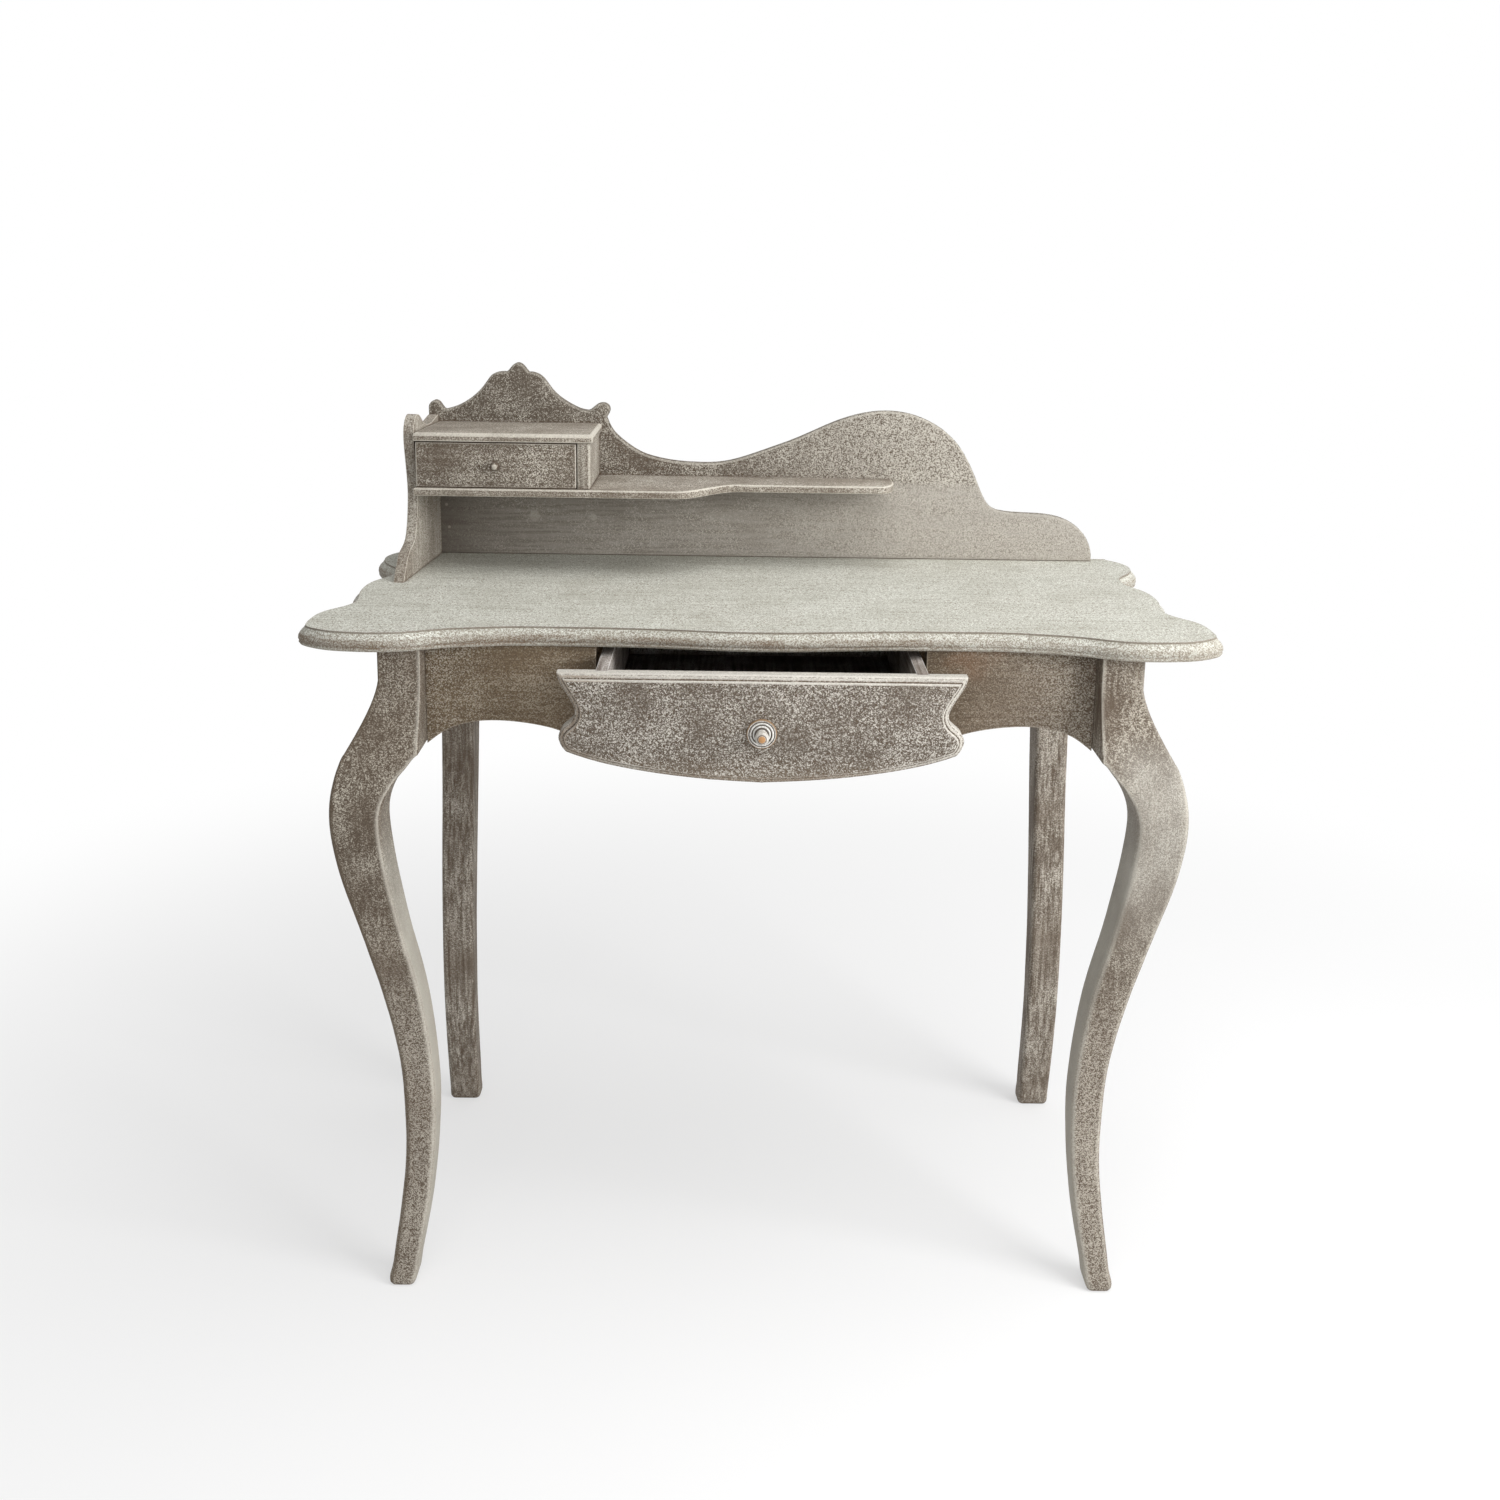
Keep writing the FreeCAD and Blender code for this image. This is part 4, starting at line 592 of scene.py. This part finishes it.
def turned(name, node, slot, paint, x, y, z, rings, rounding=0, sides=48):
    # rings are (distance before y, radius) pairs, from the foot to the tip
    for _ in range(rounding):
        finer = [rings[0]]
        for (a, r), (b, s) in zip(rings, rings[1:]):
            finer += [(0.75 * a + 0.25 * b, 0.75 * r + 0.25 * s),
                      (0.25 * a + 0.75 * b, 0.25 * r + 0.75 * s)]
        rings = finer + [rings[-1]]
    grid = bmesh.new()
    loops = []
    for depth, radius in rings:
        if radius < 1e-6:
            loops.append([grid.verts.new((x, y - depth, z))])
        else:
            loops.append([grid.verts.new((x + radius * math.cos(2 * math.pi * k / sides),
                                          y - depth,
                                          z + radius * math.sin(2 * math.pi * k / sides)))
                          for k in range(sides)])
    for first, second in zip(loops, loops[1:]):
        for k in range(sides):
            n = (k + 1) % sides
            corners = [first[k % len(first)], first[n % len(first)],
                       second[n % len(second)], second[k % len(second)]]
            unique = []
            for corner in corners:
                if corner not in unique:
                    unique.append(corner)
            if len(unique) > 2:
                grid.faces.new(unique)
    bmesh.ops.recalc_face_normals(grid, faces=grid.faces)
    mesh = bpy.data.meshes.new(name)
    grid.to_mesh(mesh)
    grid.free()
    mesh.materials.append(paint)
    mesh.polygons.foreach_set("use_smooth", [True] * len(mesh.polygons))
    mesh.set_sharp_from_angle(angle=math.radians(42.0))
    piece = bpy.data.objects.new(name, mesh)
    bpy.context.scene.collection.objects.link(piece)
    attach(piece, nodes[node]["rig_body"])
    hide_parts(node)


def rings_of(x, z, rings):
    # turned rings about an axis in Y: (inner radius, outer radius, colour, amount)
    def wear(start, place, paint, patches, specks):
        out = from_axis(place, x, z)
        for inner, outer, tone, amount in rings:
            band = out.step(inner - 0.0003, inner + 0.0002) * out.step(outer + 0.0003,
                                                                      outer - 0.0002)
            paint = coat(tone, paint, band * amount)
        return paint
    return wear


# the height of the drawer's knob, and the face that its rosette stands on
knob_z, field_y = 0.6790, -0.2390
# the rosette: a brown rim, dark rings in its grooves, and round the knob's foot a dark disc
# that is painted shade
rosette_paint = painted("rosette_paint", 0, (0.640, 0.630, 0.600), (0.500, 0.480, 0.440),
                        pale=(0.800, 0.790, 0.760), brown=(0.130, 0.085, 0.050),
                        fleck=0.8, bloom=0.4, grain=0.0, warmth=0.05, rub=0.0, ring=0.1,
                        seed=67.0, extra=rings_of(0.0, knob_z, (
                            (0.0148, 0.0170, (0.230, 0.130, 0.050), 0.90),
                            (0.0128, 0.0136, (0.090, 0.062, 0.042), 0.85),
                            (0.0098, 0.0108, (0.070, 0.048, 0.032), 0.90),
                            (-0.0010, 0.0080, (0.060, 0.042, 0.030), 0.90))))
knob_paint = painted("knob_paint", 1, (0.560, 0.545, 0.510), (0.420, 0.390, 0.345),
                     pale=(0.720, 0.710, 0.680), fleck=0.6, bloom=0.3, grain=0.1,
                     warmth=0.05, rub=0.0, ring=0.0, seed=71.0, extra=rings_of(
                         0.0, knob_z, ((-0.0010, 0.0036, (0.430, 0.215, 0.075), 0.92),
                                       (0.0040, 0.0049, (0.085, 0.052, 0.030), 0.85))))
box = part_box("small_drawer_knob")
middle = [0.5 * (a + b) for a, b in zip(*box)]
# the small knob: a pale tip, and the rim of its ball painted dark as shade
small_knob_paint = painted("small_knob_paint", 1, (0.330, 0.300, 0.250),
                           (0.120, 0.098, 0.075), fleck=1.6, bloom=1.2, grain=0.4,
                           warmth=0.2, rub=0.0, ring=0.2, seed=73.0, extra=rings_of(
                               middle[0], middle[2],
                               ((-0.0010, 0.0030, (0.560, 0.520, 0.450), 0.70),
                                (0.0043, 0.0075, (0.070, 0.050, 0.035), 0.85))))
# R is the radius of a turned piece, T the rosette's thickness, L a knob's length
R, T = 0.0158, 0.0045
turned("main_rosette", "knob_rosette", "painted_wood", rosette_paint, 0.0, field_y, knob_z, [
    (0.0, 0.004), (0.0, R), (0.30 * T, R), (0.52 * T, 0.985 * R), (0.62 * T, 0.94 * R),
    (0.58 * T, 0.885 * R), (0.40 * T, 0.86 * R), (0.42 * T, 0.83 * R), (0.74 * T, 0.80 * R),
    (0.86 * T, 0.75 * R), (0.78 * T, 0.69 * R), (0.48 * T, 0.66 * R), (0.48 * T, 0.62 * R),
    (0.84 * T, 0.59 * R), (0.99 * T, 0.53 * R), (T, 0.46 * R), (T, 0.004), (0.0, 0.004)])
R, L = 0.0076, 0.0170
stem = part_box("drawer_knob")[1][1] - field_y
turned("main_knob", "drawer_knob", "knob_wood", knob_paint, 0.0, field_y, knob_z, [
    (-stem, 0.0), (-stem, 0.0036), (T, 0.0036), (T, 0.80 * R), (T + 0.10 * L, 0.80 * R),
    (T + 0.16 * L, 0.56 * R), (T + 0.30 * L, 0.50 * R), (T + 0.42 * L, 0.62 * R),
    (T + 0.53 * L, 0.90 * R), (T + 0.66 * L, R), (T + 0.80 * L, 0.93 * R),
    (T + 0.92 * L, 0.66 * R), (T + 0.985 * L, 0.30 * R), (T + L, 0.0)], rounding=1)
R, L = 0.0060, 0.0130
face = box[0][1] + L
turned("small_knob", "small_drawer_knob", "knob_wood", small_knob_paint, middle[0], face,
       middle[2], [
           (face - box[1][1], 0.0), (face - box[1][1], 0.0026), (0.0, 0.0026),
           (0.0, 0.78 * R), (0.12 * L, 0.78 * R), (0.20 * L, 0.50 * R), (0.38 * L, 0.48 * R),
           (0.55 * L, 0.88 * R), (0.70 * L, R), (0.85 * L, 0.88 * R), (0.96 * L, 0.48 * R),
           (L, 0.0)], rounding=1)

# ---- screws, nails and dowels ------------------------------------------------
# Slotted steel screws, round wire nails and softwood dowels, driven from below
# or behind, so that only their heads show.
steel = bpy.data.materials.new("dull_steel")
steel.use_nodes = True
metal = steel.node_tree.nodes["Principled BSDF"]
place = Socket(steel.node_tree).here()
spots = place.cloud(900.0, 2.0, 0.6, 4.0)
shade = spots.ramp((0.36, (0.150, 0.105, 0.075)), (0.64, (0.470, 0.455, 0.430)))
steel.node_tree.links.new(shade.socket, metal.inputs["Base Color"])
steel.node_tree.links.new((0.30 + 0.35 * spots).socket, metal.inputs["Roughness"])
metal.inputs["Metallic"].default_value = 0.9


def driven(name, slotted, sides):
    # a tree that drives one screw or nail in at every point, along its aim
    tree = bpy.data.node_groups.new(name, "GeometryNodeTree")
    face = tree.interface
    face.new_socket("Geometry", in_out="INPUT", socket_type="NodeSocketGeometry")
    sizes = {"Slot width": 0.20, "Slot depth": 0.45, "Tip": 0.45}
    for label, value in sizes.items():
        face.new_socket(label, in_out="INPUT",
                        socket_type="NodeSocketFloat").default_value = value
    face.new_socket("Steel", in_out="INPUT", socket_type="NodeSocketMaterial")
    face.new_socket("Geometry", in_out="OUTPUT", socket_type="NodeSocketGeometry")

    def add(kind, settings=None, inputs=None):
        made = tree.nodes.new(kind)
        for key, value in (settings or {}).items():
            setattr(made, key, value)
        for key, value in (inputs or {}).items():
            if isinstance(value, bpy.types.NodeSocket):
                tree.links.new(value, made.inputs[key])
            else:
                made.inputs[key].default_value = value
        return made

    given = add("NodeGroupInput")

    def read(label, kind):
        return add("GeometryNodeInputNamedAttribute", {"data_type": kind},
                   {"Name": label}).outputs["Attribute"]

    turn = add("FunctionNodeAlignRotationToVector", {"axis": "Z"},
               {"Vector": read("aim", "FLOAT_VECTOR")}).outputs[0]
    head = add("GeometryNodeMeshCylinder", None,
               {"Vertices": sides, "Radius": 1.0, "Depth": 1.0}).outputs["Mesh"]
    if slotted:
        size = add("ShaderNodeCombineXYZ", None, {
            "X": 2.4, "Y": given.outputs["Slot width"], "Z": given.outputs["Slot depth"]})
        bar = add("GeometryNodeMeshCube", None, {"Size": size.outputs[0]}).outputs["Mesh"]
        drop = add("ShaderNodeCombineXYZ", None, {"Z": -0.5})
        lower = add("GeometryNodeTransform", None, {"Geometry": bar,
                                                    "Translation": drop.outputs[0]})
        cut = add("GeometryNodeMeshBoolean", {"operation": "DIFFERENCE"}, {0: head})
        tree.links.new(lower.outputs[0], cut.inputs[1])
        head = cut.outputs[0]
    down = add("ShaderNodeCombineXYZ", None, {"Z": 0.5})
    head = add("GeometryNodeTransform", None, {"Geometry": head,
                                               "Translation": down.outputs[0]}).outputs[0]
    shank = add("GeometryNodeMeshCone", None, {
        "Vertices": sides, "Radius Top": given.outputs["Tip"], "Radius Bottom": 1.0,
        "Depth": 1.0}).outputs["Mesh"]
    shafts = []
    for shape, across, length in ((head, "head", "head_height"), (shank, "shank", "reach")):
        wide = read(across, "FLOAT")
        scale = add("ShaderNodeCombineXYZ", None, {"X": wide, "Y": wide,
                                                   "Z": read(length, "FLOAT")})
        placed = add("GeometryNodeInstanceOnPoints", None, {
            "Points": given.outputs["Geometry"], "Selection": read(length, "FLOAT"),
            "Instance": shape, "Rotation": turn, "Scale": scale.outputs[0]})
        shafts.append(placed.outputs[0])
    both = add("GeometryNodeJoinGeometry")
    for shaft in shafts:
        tree.links.new(shaft, both.inputs[0])
    real = add("GeometryNodeRealizeInstances", None, {0: both.outputs[0]})
    coated = add("GeometryNodeSetMaterial", None, {"Geometry": real.outputs[0],
                                                   "Material": given.outputs["Steel"]})
    done = add("NodeGroupOutput")
    tree.links.new(coated.outputs[0], done.inputs[0])
    return tree


def fasteners(name, tree, sources, tip=0.001, headed=1.15):
    # one point for each screw or nail, read from where its solid stands; its width
    # is read over the length of a tip, and a head is wider than the other end
    starts, aims, reaches, heads, shanks, heights = [], [], [], [], [], []
    for node in sources:
        grid = bmesh.new()
        grid.from_mesh(nodes[node].data)
        bmesh.ops.remove_doubles(grid, verts=grid.verts, dist=weld)
        left = set(grid.verts)
        while left:
            queue = [left.pop()]
            island = list(queue)
            while queue:
                for edge in queue.pop().link_edges:
                    for v in edge.verts:
                        if v in left:
                            left.discard(v)
                            queue.append(v)
                            island.append(v)
            cloud = np.array([v.co[:] for v in island])
            centre = 0.5 * (cloud.min(0) + cloud.max(0))
            axis = np.linalg.svd(cloud - centre)[2][0]
            along = (cloud - centre) @ axis
            wide = np.linalg.norm(cloud - centre - np.outer(along, axis), axis=1)
            near_low = wide[along < along.min() + tip].max()
            near_high = wide[along > along.max() - tip].max()
            if near_high > near_low:
                axis, along = -axis, -along
            head = max(near_low, near_high)
            shank = min(near_low, near_high)
            rim = along[wide > 0.5 * (head + shank)] if head > headed * shank else along[:0]
            height = rim.max() - rim.min() if len(rim) else 0.0
            starts.append(centre + axis * along.min())
            aims.append(axis)
            reaches.append(along.max() - along.min())
            heads.append(head)
            shanks.append(shank)
            heights.append(height)
        grid.free()
    mesh = bpy.data.meshes.new(name + "_points")
    mesh.from_pydata([tuple(p) for p in starts], [], [])
    for label, kind, values in (("aim", "FLOAT_VECTOR", aims), ("reach", "FLOAT", reaches),
                                ("head", "FLOAT", heads), ("shank", "FLOAT", shanks),
                                ("head_height", "FLOAT", heights)):
        field = mesh.attributes.new(label, kind, "POINT")
        for k, value in enumerate(values):
            if kind == "FLOAT":
                field.data[k].value = float(value)
            else:
                field.data[k].vector = tuple(float(c) for c in value)
    piece = bpy.data.objects.new(name, mesh)
    bpy.context.scene.collection.objects.link(piece)
    drive = piece.modifiers.new("driven in", "NODES")
    drive.node_group = tree
    for item in tree.interface.items_tree:
        if item.in_out == "INPUT" and item.name == "Steel":
            drive[item.identifier] = steel
    worked_in(piece).name = name
    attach(piece, nodes[sources[0]]["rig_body"])
    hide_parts(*sources)


screw = driven("slotted screw", True, 24)
nail = driven("wire nail", False, 16)
fasteners("case_screws", screw, ("top_fixing_screws", "corner_block_screws",
                                 "gallery_screws"))
fasteners("gallery_pins", nail, ("gallery_nails",))
fasteners("drawer_pins", nail, ("drawer_nails",))
fasteners("knob_holding_screw", screw, ("knob_screw",))
fasteners("small_drawer_pins", nail, ("small_drawer_nails",))
fasteners("small_knob_holding_screw", screw, ("small_knob_screw",))
dressed("rail_dowels", bare_wood, 0.0)

# ---- floor, background and light ---------------------------------------------
# A plain pale floor that keeps the desk's shadow, a white background, and three
# soft lights: a window at the right, one overhead and a weak one in front.


def looked_at(start):
    # 1 where the eye sees a thing, straight, in a gloss or through glass
    seen = start.node("LightPath", out="Is Camera Ray")
    for ray in ("Is Glossy Ray", "Is Transmission Ray"):
        seen = seen.at_least(start.node("LightPath", out=ray))
    return seen


bpy.ops.mesh.primitive_plane_add(size=60.0, location=(0.0, 0.0, 0.0))
floor = bpy.context.object
floor.name = "floor"
ground = bpy.data.materials.new("pale_floor")
ground.use_nodes = True
tree = ground.node_tree
start = Socket(tree)
matt = tree.nodes["Principled BSDF"]
matt.inputs["Base Color"].default_value = (0.80, 0.80, 0.80, 1.0)
matt.inputs["Roughness"].default_value = 1.0
matt.inputs["Specular IOR Level"].default_value = 0.0
lift = start.node("Emission", {}, {"Color": (1.0, 1.0, 1.0, 1.0), "Strength": 1.0})
distant = start.node("VectorMath", {"operation": "LENGTH"}, {0: start.here()}, out="Value")
clear = 0.52 + 0.48 * distant.step(0.7, 1.9)
both = start.node("MixShader", {}, {0: looked_at(start) * clear,
                                    1: Socket(tree, matt.outputs[0]), 2: lift})
tree.links.new(both.socket, tree.nodes["Material Output"].inputs["Surface"])
floor.data.materials.append(ground)

world = bpy.data.worlds.new("studio")
bpy.context.scene.world = world
world.use_nodes = True
tree = world.node_tree
glow = 0.38 + 0.62 * looked_at(Socket(tree))
tree.links.new(glow.socket, tree.nodes["Background"].inputs["Strength"])
tree.nodes["Background"].inputs["Color"].default_value = (1.0, 1.0, 1.0, 1.0)

desk_middle = Vector((0.0, 0.0, 0.6))
for name, place, size, power in (("window", (1.9, -1.2, 1.35), 1.3, 54.0),
                                 ("overhead", (0.6, -0.3, 2.9), 2.2, 44.0),
                                 ("front", (-0.2, -3.0, 1.5), 2.2, 18.0)):
    lamp = bpy.data.lights.new(name, "AREA")
    lamp.size = size
    lamp.energy = power
    holder = bpy.data.objects.new(name, lamp)
    bpy.context.scene.collection.objects.link(holder)
    holder.location = place
    aim = desk_middle - Vector(place)
    holder.rotation_mode = "QUATERNION"
    holder.rotation_quaternion = aim.to_track_quat("-Z", "Y")

# ---- camera ------------------------------------------------------------------
# Standing height in front of the desk, a little left of its middle, looking down
# at it. The lens is moved down as well, which brings the feet into view.
stand = (-0.0296, -1.7822, 1.1739)
turn, tilt, roll = (math.radians(a) for a in (0.549, 11.763, 0.885))
ahead = Vector((math.sin(turn) * math.cos(tilt), math.cos(turn) * math.cos(tilt),
                -math.sin(tilt)))
above = Vector((math.sin(turn) * math.sin(tilt), math.cos(turn) * math.sin(tilt),
                math.cos(tilt)))
beside = Vector((math.cos(turn), -math.sin(turn), 0.0))
right = math.cos(roll) * beside + math.sin(roll) * above
up = -math.sin(roll) * beside + math.cos(roll) * above
lens = bpy.data.cameras.new("camera")
lens.lens = 37.249
lens.sensor_width = 36.0
lens.shift_y = -0.12
camera = bpy.data.objects.new("camera", lens)
bpy.context.scene.collection.objects.link(camera)
camera.matrix_world = Matrix.Translation(stand) @ Matrix(
    (right, up, -ahead)).transposed().to_4x4()
bpy.context.scene.camera = camera
bpy.context.scene.view_settings.view_transform = "Standard"
